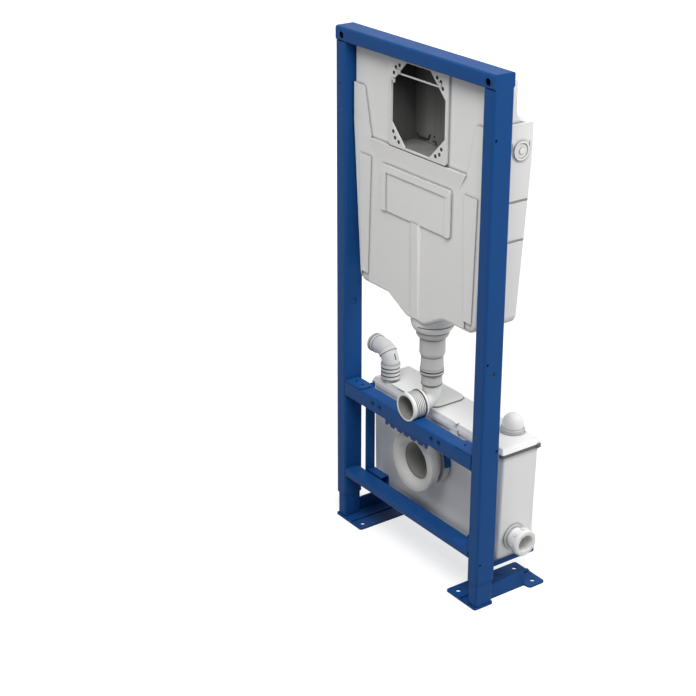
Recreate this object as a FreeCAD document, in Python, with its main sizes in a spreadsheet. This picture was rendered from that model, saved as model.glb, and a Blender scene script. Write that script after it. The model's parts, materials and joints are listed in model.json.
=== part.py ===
import FreeCAD, Part
import math
import os
import re
import Sketcher
from FreeCAD import Placement, Rotation, Vector

# Wall hung toilet frame: a blue steel installation frame that carries a concealed cistern, its flush
# pipe and a slim macerator pump tank. Millimetres, X across, Z up from the floor. Every piece is drawn
# with its depth counted back from the frame's front face; front_y then puts the origin on the floor,
# midway between the foot plates' fixing holes.

SIZES = {
    # Steel frame
    "frame_width": 500,
    "frame_height": 1130,
    "tube_width": 32,
    "tube_depth": 48,
    "tube_wall": 2,
    "tube_round": 5,
    "top_bar_height": 30,
    "upright_bottom": 60,
    "leg_clearance": 0.3,
    "leg_reach": 200,
    "cross_bar_depth": 37,
    "upper_bar_height": 35,
    "upper_bar_bottom": 312,
    "lower_bar_height": 20,
    "lower_bar_bottom": 110,
    # Holes in the frame
    "overcut": 1,
    "wall_hole_radius": 7.5,
    "wall_hole_inset": 20,
    "wall_hole_drop": 17,
    "pan_bolt_rise": 21,
    "pan_bolt_inner": 180,
    "pan_bolt_outer": 230,
    "pan_bolt_radius": 6.5,
    "screw_hole_radius": 3,
    "screw_hole_setback": 8,
    "panel_hole_inset": 15,
    "panel_hole_drop": 118,
    "top_screw_drop": 124,
    "adjust_hole_height": 533,
    "adjust_hole_radius": 7,
    "adjust_pin_radius": 4,
    "adjust_screw_rise": 23,
    "bar_screw_rise": 13,
    "low_screw_drop": 4,
    # Foot plates
    "foot_thickness": 4,
    "foot_proud": 2,
    "foot_width": 96,
    "foot_length": 193,
    "foot_corner": 6,
    "foot_waist": 16,
    "foot_waist_front": 47,
    "foot_waist_back": 150,
    "foot_waist_slant": 4,
    "foot_hole_radius": 5.5,
    "foot_hole_inset": 19,
    "foot_hole_side": 18,
    "foot_hole_spacing": 59.5,
    "foot_slot_radius": 4,
    "foot_slot_side": 47,
    "foot_bead_width": 8,
    "foot_bead_height": 2.5,
    "foot_bead_side": 54,
    "foot_edge_height": 34.5,
    # Plates and brackets on the cross bars
    "end_plate_length": 58,
    "end_plate_thickness": 3,
    "end_plate_corner": 9,
    "end_plate_setback": 1,
    "end_plate_hole_inset": 17,
    "end_plate_hole_pitch": 24,
    "hanger_gap": 27,
    "hanger_width": 7,
    "hanger_depth": 21,
    "hanger_wall": 1.5,
    "hanger_arm_length": 60,
    "hanger_arm_rise": 2,
    "hanger_top_gap": 7,
    "rail_length": 144,
    "rail_height": 11,
    "rail_thickness": 3,
    "rail_setback": 3,
    "tooth_pitch": 24,
    "tooth_notch": 6,
    "clamp_thickness": 4,
    "clamp_tab_width": 44,
    "clamp_gap": 3,
    # Cistern
    "cistern_front": 20,
    "cistern_back": 130,
    "cistern_seam": 72,
    "cistern_wall": 3.5,
    "cistern_bottom": 594,
    "cistern_top_gap": 0.4,
    "cistern_side_gap": 0.3,
    "cistern_bottom_gap": 27,
    "cistern_corner": 24,
    "cistern_edge": 7,
    "shoulder_drop": 83,
    "taper_drop": 75,
    "neck_gap": 8,
    "neck_depth": 90,
    "neck_sweep": 25,
    "sump_half": 30,
    "sump_top_half": 92,
    "sump_depth": 32,
    "sump_bend": 30,
    "panel_recess": 4,
    "panel_drop": 103,
    "panel_bottom_gap": 64,
    "panel_top_gap": 40,
    "panel_corner": 8,
    "brow_proud": 2,
    "brow_height": 34,
    "brow_slant": 20,
    "rib_proud": 2.5,
    "rib_drop": 39,
    "rib_rise": 23,
    "rib_outer_gap": 28,
    "rib_inner_gap": 68,
    "rib_outer_taper": 7,
    "rib_inner_taper": 9,
    "pocket_gap": 1,
    "pocket_height": 16,
    "pocket_depth": 2.5,
    "ridge_half": 19,
    "ridge_crest": 11,
    "ridge_low": 1.5,
    "notch_drop": 152,
    "notch_pitch": 83,
    "notch_depth": 2.5,
    "notch_height": 5,
    # Service opening
    "window_half": 86,
    "window_sill": 5,
    "window_head": 7.6,
    "shaft_wall": 3,
    "shaft_back": 84,
    "collar_width": 8,
    "collar_front": 19,
    "collar_corner": 8,
    "gusset_leg": 48,
    "gusset_thickness": 3,
    "gusset_hole_radius": 3,
    "gusset_hole_near": 9,
    "gusset_hole_middle": 15,
    "gusset_hole_far": 27,
    "tie_drop": 24.5,
    "tie_height": 2.5,
    # Blank plate and inlet bosses
    "blank_half": 112,
    "blank_drop": 42,
    "blank_height": 98,
    "blank_thickness": 5,
    "blank_corner": 6,
    "blank_margin": 16,
    "blank_recess": 2,
    "inlet_disc_radius": 15,
    "inlet_ring_radius": 19,
    "inlet_ring_reach": 3,
    "inlet_disc_reach": 1.5,
    "inlet_hub_radius": 6,
    "inlet_boss_depth": 98,
    "inlet_boss_drop": 52,
    # Flush pipe
    "waste_drop": 99,
    "flush_rise": 135,
    "flush_axis_depth": 70,
    "flush_bore": 17,
    "flush_pipe_radius": 20,
    "flush_bend": 24,
    "boss_radius": 47,
    "boss_height": 17,
    "boss_round": 11,
    "nut_radius": 35.5,
    "nut_height": 13,
    "nut_land": 4,
    "nut_taper": 4.5,
    "sleeve_top_radius": 27.5,
    "sleeve_top_height": 48,
    "sleeve_chamfer": 2.5,
    "sleeve_chamfer_height": 5,
    "sleeve_mid_radius": 23.3,
    "sleeve_mid_height": 39,
    "sleeve_flare": 1.3,
    "sleeve_bead_radius": 25.5,
    "sleeve_bead_height": 4,
    "sleeve_bead_gap": 2.5,
    "sleeve_low_radius": 22.3,
    "sleeve_low_height": 25,
    "spigot_setback": 2,
    "spigot_radius": 31,
    "spigot_body_radius": 28.5,
    "spigot_bore": 26,
    "spigot_socket_depth": 36,
    "spigot_lip": 8,
    "spigot_rib_count": 5,
    "spigot_rib_height": 1.2,
    "spigot_rib_width": 2,
    "spigot_flange_radius": 32,
    "spigot_flange_start": 34,
    "spigot_flange_width": 4,
    "spigot_neck_radius": 23,
    "seat_clearance": 0.3,
    # Macerator tank
    "tank_half": 216,
    "tank_draft": 6,
    "tank_front": 84,
    "tank_back": 178,
    "tank_wall": 4,
    "tank_round": 5,
    "tank_height": 249,
    "tank_flange": 1.5,
    "tank_flange_height": 3,
    "lid_overhang": 3,
    "lid_lip": 5,
    "lid_groove": 1.5,
    "lid_groove_inset": 3,
    "lid_rim": 9,
    "lid_crown": 11,
    "lid_crown_end": 7,
    "lid_crown_side": 5,
    "lid_round": 4,
    "cover_gap": 23,
    "cover_right": 10,
    "cover_height": 3,
    "cover_round": 22,
    "clip_width": 22,
    "clip_height": 14,
    "clip_thickness": 3,
    "clip_spacing": 140,
    "tray_gap": 1.5,
    "tray_bottom": 66,
    "tray_thickness": 2.5,
    "tray_lip": 10,
    "tray_rear_lip": 34,
    "tray_front_lip": 60,
    # Fittings on the tank
    "vent_end_inset": 62,
    "vent_back_inset": 25,
    "vent_radius": 22.5,
    "vent_step_radius": 24,
    "vent_step_height": 9,
    "vent_flange_radius": 26,
    "vent_flange_height": 4,
    "vent_body_height": 17,
    "discharge_end_inset": 42,
    "discharge_front_inset": 20,
    "discharge_radius": 19.5,
    "discharge_bore": 16,
    "discharge_bend": 29,
    "discharge_tail": 30,
    "discharge_lip_radius": 21,
    "discharge_lip_width": 5,
    "coupling_radius": 21.5,
    "coupling_height": 42,
    "coupling_foot_radius": 18,
    "coupling_foot_height": 8,
    "coupling_lip_radius": 22,
    "coupling_lip_height": 7,
    "coupling_ribs": 3,
    "coupling_groove": 3,
    "waste_bore": 41,
    "waste_pipe_radius": 52,
    "waste_rim_radius": 68,
    "waste_rim_front": 19.5,
    "waste_rim_lip": 5,
    "waste_flare_depth": 16,
    "waste_collar_depth": 24,
    "waste_bevel": 3,
    "waste_flange_radius": 60,
    "waste_flange_width": 14,
    "inlet_depth": 124,
    "inlet_height": 122,
    "inlet_bore": 19,
    "inlet_blank": 3,
    "inlet_stub_radius": 22,
    "inlet_flange_radius": 27,
    "inlet_flange_thickness": 6,
    "inlet_stub_reach": 22,
    "union_radius": 29,
    "union_reach": 20,
    "union_bevel": 3,
}

# Lengths worked out from the sizes above, used in more than one place
DERIVED = {
    "front_y": "foot_proud - foot_length / 2",
    "half_width": "frame_width / 2",
    "inner_half": "frame_width / 2 - tube_width",
    "through": "2 * overcut",
    "top_bar_bottom": "frame_height - top_bar_height",
    "upper_bar_top": "upper_bar_bottom + upper_bar_height",
    "lower_bar_top": "lower_bar_bottom + lower_bar_height",
    "pan_bolt_height": "upper_bar_bottom + pan_bolt_rise",
    "waste_height": "pan_bolt_height - waste_drop",
    "flush_height": "waste_height + flush_rise",
    "hanger_outer": "inner_half - hanger_gap",
    "hanger_back": "cross_bar_depth + hanger_depth",
    "cistern_top": "top_bar_bottom - cistern_top_gap",
    "cistern_shoulder": "top_bar_bottom - shoulder_drop",
    "cistern_taper": "cistern_shoulder - taper_drop",
    "shoulder_half": "inner_half - cistern_side_gap",
    "bottom_half": "inner_half - cistern_bottom_gap",
    "neck_half": "inner_half - neck_gap",
    "panel_face": "cistern_front + panel_recess",
    "panel_bottom": "cistern_shoulder - panel_drop",
    "panel_bottom_half": "inner_half - panel_bottom_gap",
    "panel_top_half": "inner_half - panel_top_gap",
    "window_bottom": "panel_bottom + window_sill",
    "window_top": "cistern_top - window_head",
    "window_height": "window_top - window_bottom",
    "blank_bottom": "panel_bottom - blank_drop - blank_height",
    "blank_face": "cistern_front - blank_thickness",
    "rib_top": "panel_bottom - rib_drop",
    "rib_bottom": "cistern_bottom + rib_rise",
    "rib_low_inner": "inner_half - rib_inner_gap + rib_inner_taper",
    "rib_low_outer": "inner_half - rib_outer_gap - rib_outer_taper",
    "sump_bottom": "cistern_bottom - sump_depth",
    "boss_bottom": "sump_bottom - boss_height",
    "nut_bottom": "boss_bottom - nut_height",
    "sleeve_joint": "nut_bottom - sleeve_top_height",
    "bead_height": "2 * sleeve_bead_height + sleeve_bead_gap",
    "sleeve_length": "sleeve_mid_height + bead_height + sleeve_low_height",
    "sleeve_bottom": "sleeve_joint - sleeve_length",
    "elbow_face": "flush_axis_depth - flush_bend",
    "collar_back": "waste_rim_front + waste_collar_depth",
    "tank_bottom": "tray_bottom + tray_thickness",
    "tank_top_half": "tank_half + tank_draft",
    "lid_bottom": "tank_bottom + tank_height",
    "lid_half": "tank_top_half + lid_overhang",
    "lid_front": "tank_front - lid_lip",
    "flange_back": "lid_front - clamp_gap",
    "flange_front": "flange_back - waste_flange_width",
    "lid_depth": "tank_back - tank_front + 2 * lid_lip",
    "lid_back": "lid_front + lid_depth",
    "lid_top": "lid_bottom + lid_rim + lid_crown",
    "tray_half": "tank_half + tray_gap + tray_thickness",
    "tray_back": "tank_back + tray_gap + tray_thickness",
    "coupling_top": "lid_top + coupling_height",
    "discharge_x": "lid_half - discharge_end_inset",
    "discharge_depth": "lid_front + discharge_front_inset",
    "cover_left": "discharge_x - cover_gap",
    "mouth_x": "discharge_x + discharge_bend + discharge_tail",
}

TINY = 1e-4
AXES = {"x": Vector(1, 0, 0), "y": Vector(0, 1, 0), "z": Vector(0, 0, 1)}
ALONG = {"x": Rotation(Vector(0, 1, 0), 90), "y": Rotation(Vector(1, 0, 0), -90), "z": Rotation()}
SIDES = (("left", "-"), ("right", ""))

doc = FreeCAD.newDocument("wall_hung_toilet_frame")
sheet = doc.addObject("Spreadsheet::Sheet", "Sizes")
nodes = []


def cell_of(word):
    return "Sizes." + word if word in SIZES or word in DERIVED else word


def expression(text):
    """Point every size named in the text at its cell in the sheet."""
    return re.sub(r"[a-z][a-z_]*", lambda word: cell_of(word.group()), text)


def fill_sheet():
    for row, (alias, number) in enumerate(SIZES.items(), 1):
        sheet.set(f"A{row}", str(number))
        sheet.setAlias(f"A{row}", alias)
    doc.recompute()
    for row, (alias, formula) in enumerate(DERIVED.items(), 1):
        sheet.set(f"B{row}", "=" + formula)
        sheet.setAlias(f"B{row}", alias)
        doc.recompute()


def value(alias):
    return float(sheet.get(alias))


def bind(piece, **formulas):
    for name, formula in formulas.items():
        piece.setExpression(name, expression(formula))


def place(piece, at, rotation=None):
    """Put a piece at three formulas, turned by a fixed rotation if one is given."""
    if rotation:
        piece.Placement = Placement(Vector(), rotation)
    for name, formula in zip("xyz", at):
        piece.setExpression("Placement.Base." + name, expression(formula))
    return piece


def box(name, low, size):
    piece = doc.addObject("Part::Box", name)
    bind(piece, Length=size[0], Width=size[1], Height=size[2])
    return place(piece, low)


def rod(name, axis, start, radius, length):
    piece = doc.addObject("Part::Cylinder", name)
    bind(piece, Radius=radius, Height=length)
    return place(piece, start, ALONG[axis])


def fuse(name, *pieces):
    piece = doc.addObject("Part::MultiFuse", name)
    piece.Shapes = list(pieces)
    return piece


def common(name, *pieces):
    piece = doc.addObject("Part::MultiCommon", name)
    piece.Shapes = list(pieces)
    return piece


def cut(name, base, *tools):
    piece = doc.addObject("Part::Cut", name)
    piece.Base = base
    piece.Tool = tools[0] if len(tools) == 1 else fuse(name + "_tools", *tools)
    return piece


def group(name, pieces):
    """Solids that don't touch, carried in one node."""
    piece = doc.addObject("Part::Compound", name)
    piece.Links = pieces
    return piece


def filleted(name, base, radius, wanted):
    """Round the edges of a piece that are wanted."""
    doc.recompute()
    piece = doc.addObject("Part::Fillet", name)
    piece.Base = base
    numbers = [number for number, edge in enumerate(base.Shape.Edges, 1) if wanted(edge)]
    piece.Edges = [(number, radius, radius) for number in numbers]
    return piece


def rounded(name, base, axis, radius, wanted=lambda middle: True, slack=TINY):
    """Round the straight edges that run along an axis, or those of them whose middle is wanted."""
    def runs_along(edge):
        if edge.Curve.TypeId != "Part::GeomLine":
            return False
        slant = 1 - abs(edge.tangentAt(edge.FirstParameter).dot(AXES[axis]))
        return slant < slack and wanted(edge.CenterOfMass)
    return filleted(name, base, radius, runs_along)


def hollow_bar(name, low, size, axis, wall, closed=False):
    """A rectangular tube along one axis with rounded long edges, open or closed at its ends."""
    reach = wall if closed else "-overcut"
    inset = [reach if letter == axis else wall for letter in "xyz"]
    inner_low = [f"{start} + ({gap})" for start, gap in zip(low, inset)]
    inner_size = [f"{length} - 2 * ({gap})" for length, gap in zip(size, inset)]
    radius = value("tube_round")
    outer = rounded(name + "_outer", box(name + "_block", low, size), axis, radius)
    core = box(name + "_core", inner_low, inner_size)
    return cut(name + "_tube", outer, rounded(name + "_inner", core, axis, radius - value(wall)))


def node(label, piece, x="0", depth="0", z="0"):
    """Name a finished sub-part and set its depth from the frame's front face."""
    piece.Label = label
    place(piece, (x, f"front_y + {depth}", z))
    nodes.append(piece)
    return piece


def mirrored(name, source):
    """A piece mirrored across the middle of the frame."""
    piece = doc.addObject("Part::Mirroring", name)
    piece.Source = source
    piece.Normal = AXES["x"]
    return piece


def pair(name, piece):
    """The right and left hand sub-parts of a pair."""
    node("right_" + name, piece)
    left = mirrored("left_" + name, piece)
    left.Label = "left_" + name
    nodes.append(left)


def outline_sketch(body, name, role, corners):
    """A closed outline whose corners are all set by formulas."""
    sketch = body.newObject("Sketcher::SketchObject", name)
    plane = next(item for item in body.Origin.OriginFeatures if item.Role == role + "_Plane")
    sketch.AttachmentSupport = [(plane, "")]
    sketch.MapMode = "FlatFace"
    count = len(corners)
    spokes = [Rotation(AXES["z"], 360 * i / count) for i in range(count)]
    start = [spoke.multVec(Vector(100, 0, 0)) for spoke in spokes]
    for i in range(count):
        sketch.addGeometry(Part.LineSegment(start[i], start[(i + 1) % count]))
    for i in range(count):
        sketch.addConstraint(Sketcher.Constraint("Coincident", i, 2, (i + 1) % count, 1))
    for i, corner in enumerate(corners):
        for kind, formula, now in zip(("DistanceX", "DistanceY"), corner, (start[i].x, start[i].y)):
            number = sketch.addConstraint(Sketcher.Constraint(kind, -1, 1, i, 1, now))
            sketch.setExpression(f"Constraints[{number}]", expression(formula))
    return sketch


def padded(name, role, corners, length):
    """A body padded from an outline: role XZ runs back in depth, YZ to the right, XY upward."""
    body = doc.addObject("PartDesign::Body", name)
    sketch = outline_sketch(body, name + "_outline", role, corners)
    doc.recompute()
    pad = body.newObject("PartDesign::Pad", name + "_pad")
    pad.Profile = sketch
    pad.Reversed = role == "XZ"
    bind(pad, Length=length)
    doc.recompute()
    return body


def turned(name, axis, corners):
    """A body turned about its own axis from a half outline of (radius, height) corners."""
    body = doc.addObject("PartDesign::Body", name)
    sketch = outline_sketch(body, name + "_outline", "XZ", corners)
    doc.recompute()
    turn = body.newObject("PartDesign::Revolution", name + "_turn")
    turn.Profile = sketch
    turn.ReferenceAxis = (sketch, ["V_Axis"])
    turn.Angle = 360
    body.Placement = Placement(Vector(), ALONG[axis])
    doc.recompute()
    return body


def lofted(name, sections):
    """A body lofted upward through outlines, each given with its height."""
    body = doc.addObject("PartDesign::Body", name)
    sketches = []
    for i, (height, corners) in enumerate(sections):
        sketch = outline_sketch(body, f"{name}_section_{i}", "XY", corners)
        sketch.setExpression("AttachmentOffset.Base.z", expression(height))
        sketches.append(sketch)
    doc.recompute()
    loft = body.newObject("PartDesign::AdditiveLoft", name + "_loft")
    loft.Profile = sketches[0]
    loft.Sections = sketches[1:]
    loft.Ruled = True
    doc.recompute()
    return body


def bend(name, radius, ring, sweep, rotation, at):
    """A stretch of a bent rod: part of a ring about its own centre."""
    piece = doc.addObject("Part::Torus", name)
    bind(piece, Radius1=ring, Radius2=radius)
    piece.Angle1 = -180
    piece.Angle2 = 180
    piece.Angle3 = sweep
    return place(piece, at, rotation)


def ring(bore, radius, bottom, top):
    """Half outline of a plain ring."""
    return [(bore, bottom), (radius, bottom), (radius, top), (bore, top)]


def make_uprights():
    bar = hollow_bar("upright", ("inner_half", "0", "upright_bottom"),
                     ("tube_width", "tube_depth", "top_bar_bottom - upright_bottom"), "z", "tube_wall")
    outer_wall = "half_width - tube_wall - overcut"
    reach = "tube_wall + through"
    front, back = "screw_hole_setback", "tube_depth - screw_hole_setback"
    spots = [(front, "frame_height - top_screw_drop"), (front, "adjust_hole_height + adjust_screw_rise"),
             (back, "upper_bar_top + bar_screw_rise"), (front, "lower_bar_bottom - low_screw_drop")]
    holes = [rod(f"upright_screw_hole_{i}", "x", (outer_wall, depth, z), "screw_hole_radius", reach)
             for i, (depth, z) in enumerate(spots)]
    middle = ("tube_depth / 2", "adjust_hole_height")
    holes.append(rod("adjust_hole", "x", ("inner_half - overcut", *middle), "adjust_hole_radius", reach))
    holes.append(rod("adjust_pin_hole", "x", (outer_wall, *middle), "adjust_pin_radius", reach))
    right = node("right_upright", cut("right_upright", bar, *holes))
    panel_spot = ("panel_hole_inset - half_width", "front_y - overcut", "frame_height - panel_hole_drop")
    panel_hole = rod("panel_hole", "y", panel_spot, "screw_hole_radius", reach)
    left = cut("left_upright", mirrored("left_upright_form", right), panel_hole)
    left.Label = "left_upright"
    nodes.append(left)


def make_top_bar():
    bar = hollow_bar("top_bar", ("-half_width", "0", "top_bar_bottom"),
                     ("frame_width", "tube_depth", "top_bar_height"), "x", "tube_wall", closed=True)
    holes = []
    for side, sign in SIDES:
        spot = (f"{sign}(half_width - wall_hole_inset)", "-overcut", "frame_height - wall_hole_drop")
        holes.append(rod("wall_hole_" + side, "y", spot, "wall_hole_radius", "tube_depth + through"))
    node("top_bar", cut("top_bar_cut", bar, *holes))


def make_cross_bars():
    reach = "cross_bar_depth + through"
    holes = [rod("spigot_seat", "y", ("0", "-overcut", "flush_height"),
                 "spigot_flange_radius + seat_clearance", reach)]
    for spacing in ("pan_bolt_inner", "pan_bolt_outer"):
        for side, sign in SIDES:
            spot = (f"{sign}{spacing} / 2", "-overcut", "pan_bolt_height")
            holes.append(rod(f"{spacing}_{side}", "y", spot, "pan_bolt_radius", reach))
    bars = {}
    for name in ("upper", "lower"):
        low = ("-inner_half", "0", f"{name}_bar_bottom")
        size = ("2 * inner_half", "cross_bar_depth", f"{name}_bar_height")
        bars[name] = hollow_bar(f"{name}_bar", low, size, "x", "tube_wall")
    node("upper_cross_bar", cut("upper_bar_cut", bars["upper"], *holes))
    node("lower_cross_bar", bars["lower"])


def make_legs():
    inset = "(tube_wall + leg_clearance)"
    low = (f"inner_half + {inset}", inset, "foot_thickness")
    size = (f"tube_width - 2 * {inset}", f"tube_depth - 2 * {inset}", "upright_bottom + leg_reach")
    pair("leg", hollow_bar("leg", low, size, "z", "tube_wall"))


def make_foot_plates():
    """Pressed plates with a bead along them and an edge turned up at the waist."""
    inner, waist, back = "half_width - foot_width", "half_width - foot_waist", "foot_length - foot_proud"
    outline = [(inner, "-foot_proud"), ("half_width", "-foot_proud"), ("half_width", "foot_waist_front"),
               (waist, "foot_waist_front + foot_waist_slant"), (waist, "foot_waist_back - foot_waist_slant"),
               ("half_width", "foot_waist_back"), ("half_width", back), (inner, back)]
    plate = padded("foot_sheet", "XY", outline, "foot_thickness")
    waist_x = value("half_width") - value("foot_waist")
    plate = rounded("foot_sheet_round", plate, "z", value("foot_corner"),
                    lambda middle: abs(middle.x - waist_x) > value("overcut"))
    bead_x = "half_width - foot_bead_side - foot_bead_width / 2"
    bead = box("foot_bead", (bead_x, "-foot_proud", "foot_thickness"),
               ("foot_bead_width", "foot_length", "foot_bead_height"))
    edge = box("foot_edge", (f"{waist} - foot_thickness", "foot_waist_front + foot_waist_slant", "0"),
               ("foot_thickness", "foot_waist_back - foot_waist_front - 2 * foot_waist_slant",
                "foot_edge_height"))
    edge = rounded("foot_edge_round", edge, "x", value("foot_corner"),
                   lambda middle: middle.z > value("foot_thickness"))
    front_row, back_row = "foot_hole_inset - foot_proud", f"{back} - foot_hole_inset"
    outer_row, inner_row = "half_width - foot_hole_side", "half_width - foot_hole_side - foot_hole_spacing"
    spots = [(inner_row, front_row), (inner_row, back_row), (outer_row, back_row)]
    reach = "foot_thickness + through"
    holes = [rod(f"foot_hole_{i}", "z", (x, depth, "-overcut"), "foot_hole_radius", reach)
             for i, (x, depth) in enumerate(spots)]
    holes.append(rod("foot_slot", "z", ("half_width - foot_slot_side", "foot_length / 2", "-overcut"),
                     "foot_slot_radius", reach))
    pair("foot_plate", cut("right_foot_plate", fuse("foot_pressing", plate, bead, edge), *holes))


def make_end_plates():
    plate = box("end_plate_sheet", ("inner_half - end_plate_length", "end_plate_setback", "upper_bar_top"),
                ("end_plate_length", "cross_bar_depth - 2 * end_plate_setback", "end_plate_thickness"))
    free_end = value("inner_half") - value("end_plate_length")
    plate = rounded("end_plate_round", plate, "z", value("end_plate_corner"),
                    lambda middle: middle.x < free_end + TINY)
    holes = []
    for i in range(2):
        spot = (f"inner_half - end_plate_hole_inset - {i} * end_plate_hole_pitch", "cross_bar_depth / 2",
                "upper_bar_top - overcut")
        reach = "end_plate_thickness + through"
        holes.append(rod(f"end_plate_hole_{i}", "z", spot, "screw_hole_radius", reach))
    pair("end_plate", cut("right_end_plate", plate, *holes))


def make_hangers():
    """Posts that drop from the upper bar to short arms behind the lower bar, which carry the tray."""
    arm_top = "(lower_bar_top + hanger_arm_rise)"
    bore = "2 * hanger_wall"
    post_x, arm_x = "hanger_outer - hanger_width", "hanger_outer - hanger_arm_length"
    post = box("hanger_post", (post_x, "cross_bar_depth", arm_top),
               ("hanger_width", "hanger_depth", f"upper_bar_top - hanger_top_gap - {arm_top}"))
    core = box("hanger_post_core", (f"{post_x} + hanger_wall", "cross_bar_depth + hanger_wall", arm_top),
               (f"hanger_width - {bore}", f"hanger_depth - {bore}", "upper_bar_top"))
    pair("hanger_post", cut("right_hanger_post", post, core))
    arm_height = f"{arm_top} - lower_bar_bottom"
    arm = box("hanger_arm", (arm_x, "cross_bar_depth", "lower_bar_bottom"),
              ("hanger_arm_length", "hanger_depth", arm_height))
    core = box("hanger_arm_core", (f"{arm_x} - overcut", "cross_bar_depth + hanger_wall",
                                   "lower_bar_bottom + hanger_wall"),
               ("hanger_arm_length + through", f"hanger_depth - {bore}", f"{arm_height} - {bore}"))
    pair("hanger_arm", cut("right_hanger_arm", arm, core))


def make_toothed_rail():
    """The strip under the upper bar whose lower edge is notched into teeth."""
    half = "rail_length / 2"
    body = padded("rail", "XZ", [(f"-{half}", "-rail_height"), (half, "-rail_height"), (half, "0"),
                                 (f"-{half}", "0")], "rail_thickness")
    notch = body.newObject("Sketcher::SketchObject", "rail_notch")
    plane = next(item for item in body.Origin.OriginFeatures if item.Role == "XZ_Plane")
    notch.AttachmentSupport = [(plane, "")]
    notch.MapMode = "FlatFace"
    first = Vector(-value("rail_length") / 2, -value("rail_height"), 0)
    notch.addGeometry(Part.Circle(first, AXES["z"], value("tooth_notch")))
    for kind, formula, now in (("DistanceX", f"(tooth_pitch / 2) - {half}", first.x),
                               ("DistanceY", "-rail_height", first.y)):
        number = notch.addConstraint(Sketcher.Constraint(kind, -1, 1, 0, 3, now))
        notch.setExpression(f"Constraints[{number}]", expression(formula))
    number = notch.addConstraint(Sketcher.Constraint("Radius", 0, value("tooth_notch")))
    notch.setExpression(f"Constraints[{number}]", expression("tooth_notch"))
    doc.recompute()
    pocket = body.newObject("PartDesign::Pocket", "rail_pocket")
    pocket.Profile = notch
    pocket.Type = "ThroughAll"
    pocket.Midplane = True
    doc.recompute()
    row = body.newObject("PartDesign::LinearPattern", "rail_teeth")
    row.Originals = [pocket]
    row.Direction = (notch, ["H_Axis"])
    bind(row, Occurrences="floor(rail_length / tooth_pitch)",
         Length="(floor(rail_length / tooth_pitch) - 1) * tooth_pitch")
    body.Tip = row
    node("toothed_rail", body, "0", "rail_setback", "upper_bar_bottom")


def make_waste():
    """The flared rubber collar for the pan's outlet and the pipe from it into the tank."""
    collar = [("waste_bore", "waste_collar_depth"), ("waste_bore", "waste_flare_depth"),
              ("waste_rim_radius - waste_rim_lip", "0"), ("waste_rim_radius - waste_bevel", "0"),
              ("waste_rim_radius", "waste_bevel"), ("waste_rim_radius", "waste_collar_depth - waste_bevel"),
              ("waste_rim_radius - waste_bevel", "waste_collar_depth")]
    node("waste_collar", turned("waste_collar_body", "y", collar), "0", "waste_rim_front", "waste_height")
    length, start, end = "tank_front - collar_back", "flange_front - collar_back", "flange_back - collar_back"
    pipe = [("waste_bore", "0"), ("waste_pipe_radius", "0"), ("waste_pipe_radius", start),
            ("waste_flange_radius", start), ("waste_flange_radius", end), ("waste_pipe_radius", end),
            ("waste_pipe_radius", length), ("waste_bore", length)]
    node("waste_pipe", turned("waste_pipe_body", "y", pipe), "0", "collar_back", "waste_height")


def make_waste_clamp():
    """Half round saddle over the waste pipe's flange, hung from the upper bar by a stepped bracket."""
    inner = "(waste_flange_radius + seat_clearance)"
    band = rod("clamp_band", "y", ("0", "flange_front", "waste_height"), f"{inner} + clamp_thickness",
               "waste_flange_width")
    shelf = "(waste_height + waste_rim_radius + clamp_gap)"
    half_tab = "clamp_tab_width / 2"
    plates = [box("clamp_shelf", (f"-{half_tab}", "cross_bar_depth", shelf),
                  ("clamp_tab_width", "flange_back - cross_bar_depth", "clamp_thickness")),
              box("clamp_tab", (f"-{half_tab}", "cross_bar_depth", shelf),
                  ("clamp_tab_width", "clamp_thickness",
                   f"flush_height - spigot_flange_radius - clamp_gap - {shelf}"))]
    for side, x in (("left", f"-{half_tab}"), ("right", f"{half_tab} - clamp_thickness")):
        plates.append(box("clamp_riser_" + side, (x, "flange_front", "waste_height"),
                          ("clamp_thickness", "waste_flange_width", f"{shelf} - waste_height")))
    reach = "2 * waste_flange_radius"
    lower = box("clamp_lower", (f"-{reach}", "flange_front - overcut", f"waste_height - {reach}"),
                (f"2 * {reach}", "waste_flange_width + through", reach))
    pipe = rod("clamp_pipe", "y", ("0", "0", "waste_height"), inner, "tank_front")
    node("waste_clamp", cut("waste_clamp_cut", fuse("waste_clamp_body", band, *plates), lower, pipe))


def cistern_outline(inset):
    """Front outline of the cistern with its S curved sump, drawn in by a wall."""
    floor, shoulder = f"cistern_bottom + {inset}", f"cistern_shoulder - {inset}"
    right = [(f"sump_half - {inset}", f"sump_bottom + {inset}"), (f"sump_top_half - {inset}", floor),
             (f"bottom_half - {inset}", floor), (f"shoulder_half - {inset}", "cistern_taper"),
             (f"shoulder_half - {inset}", shoulder), (f"neck_half - {inset}", shoulder),
             (f"neck_half - {inset}", f"cistern_top - {inset}")]
    left = [(f"-({x})", z) for x, z in reversed(right)]
    return right + left


def cistern_solid(name, inset, front):
    """The volume inside or outside the cistern's wall, with the given front from the top down."""
    face = padded(name + "_face", "XZ", cistern_outline(inset), "2 * cistern_back")
    low = value("cistern_bottom") + 2 * value("cistern_wall")
    sump_end = value("sump_top_half") + TINY
    bends = rounded(name + "_bends", face, "y", value("sump_bend"),
                    lambda middle: middle.z < low and abs(middle.x) < sump_end)
    corners = rounded(name + "_corners", bends, "y", value("cistern_corner"),
                      lambda middle: middle.z < low and abs(middle.x) > sump_end)
    shoulder = f"cistern_shoulder - {inset}"
    back = [(f"cistern_back - {inset}", f"sump_bottom + {inset}"), (f"cistern_back - {inset}", shoulder),
            (f"neck_depth - {inset}", shoulder), (f"neck_depth - {inset}", f"cistern_top - {inset}")]
    side = padded(name + "_side", "YZ", back + front, "frame_width")
    place(side, ("-half_width", "0", "0"))
    return corners, side


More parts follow.
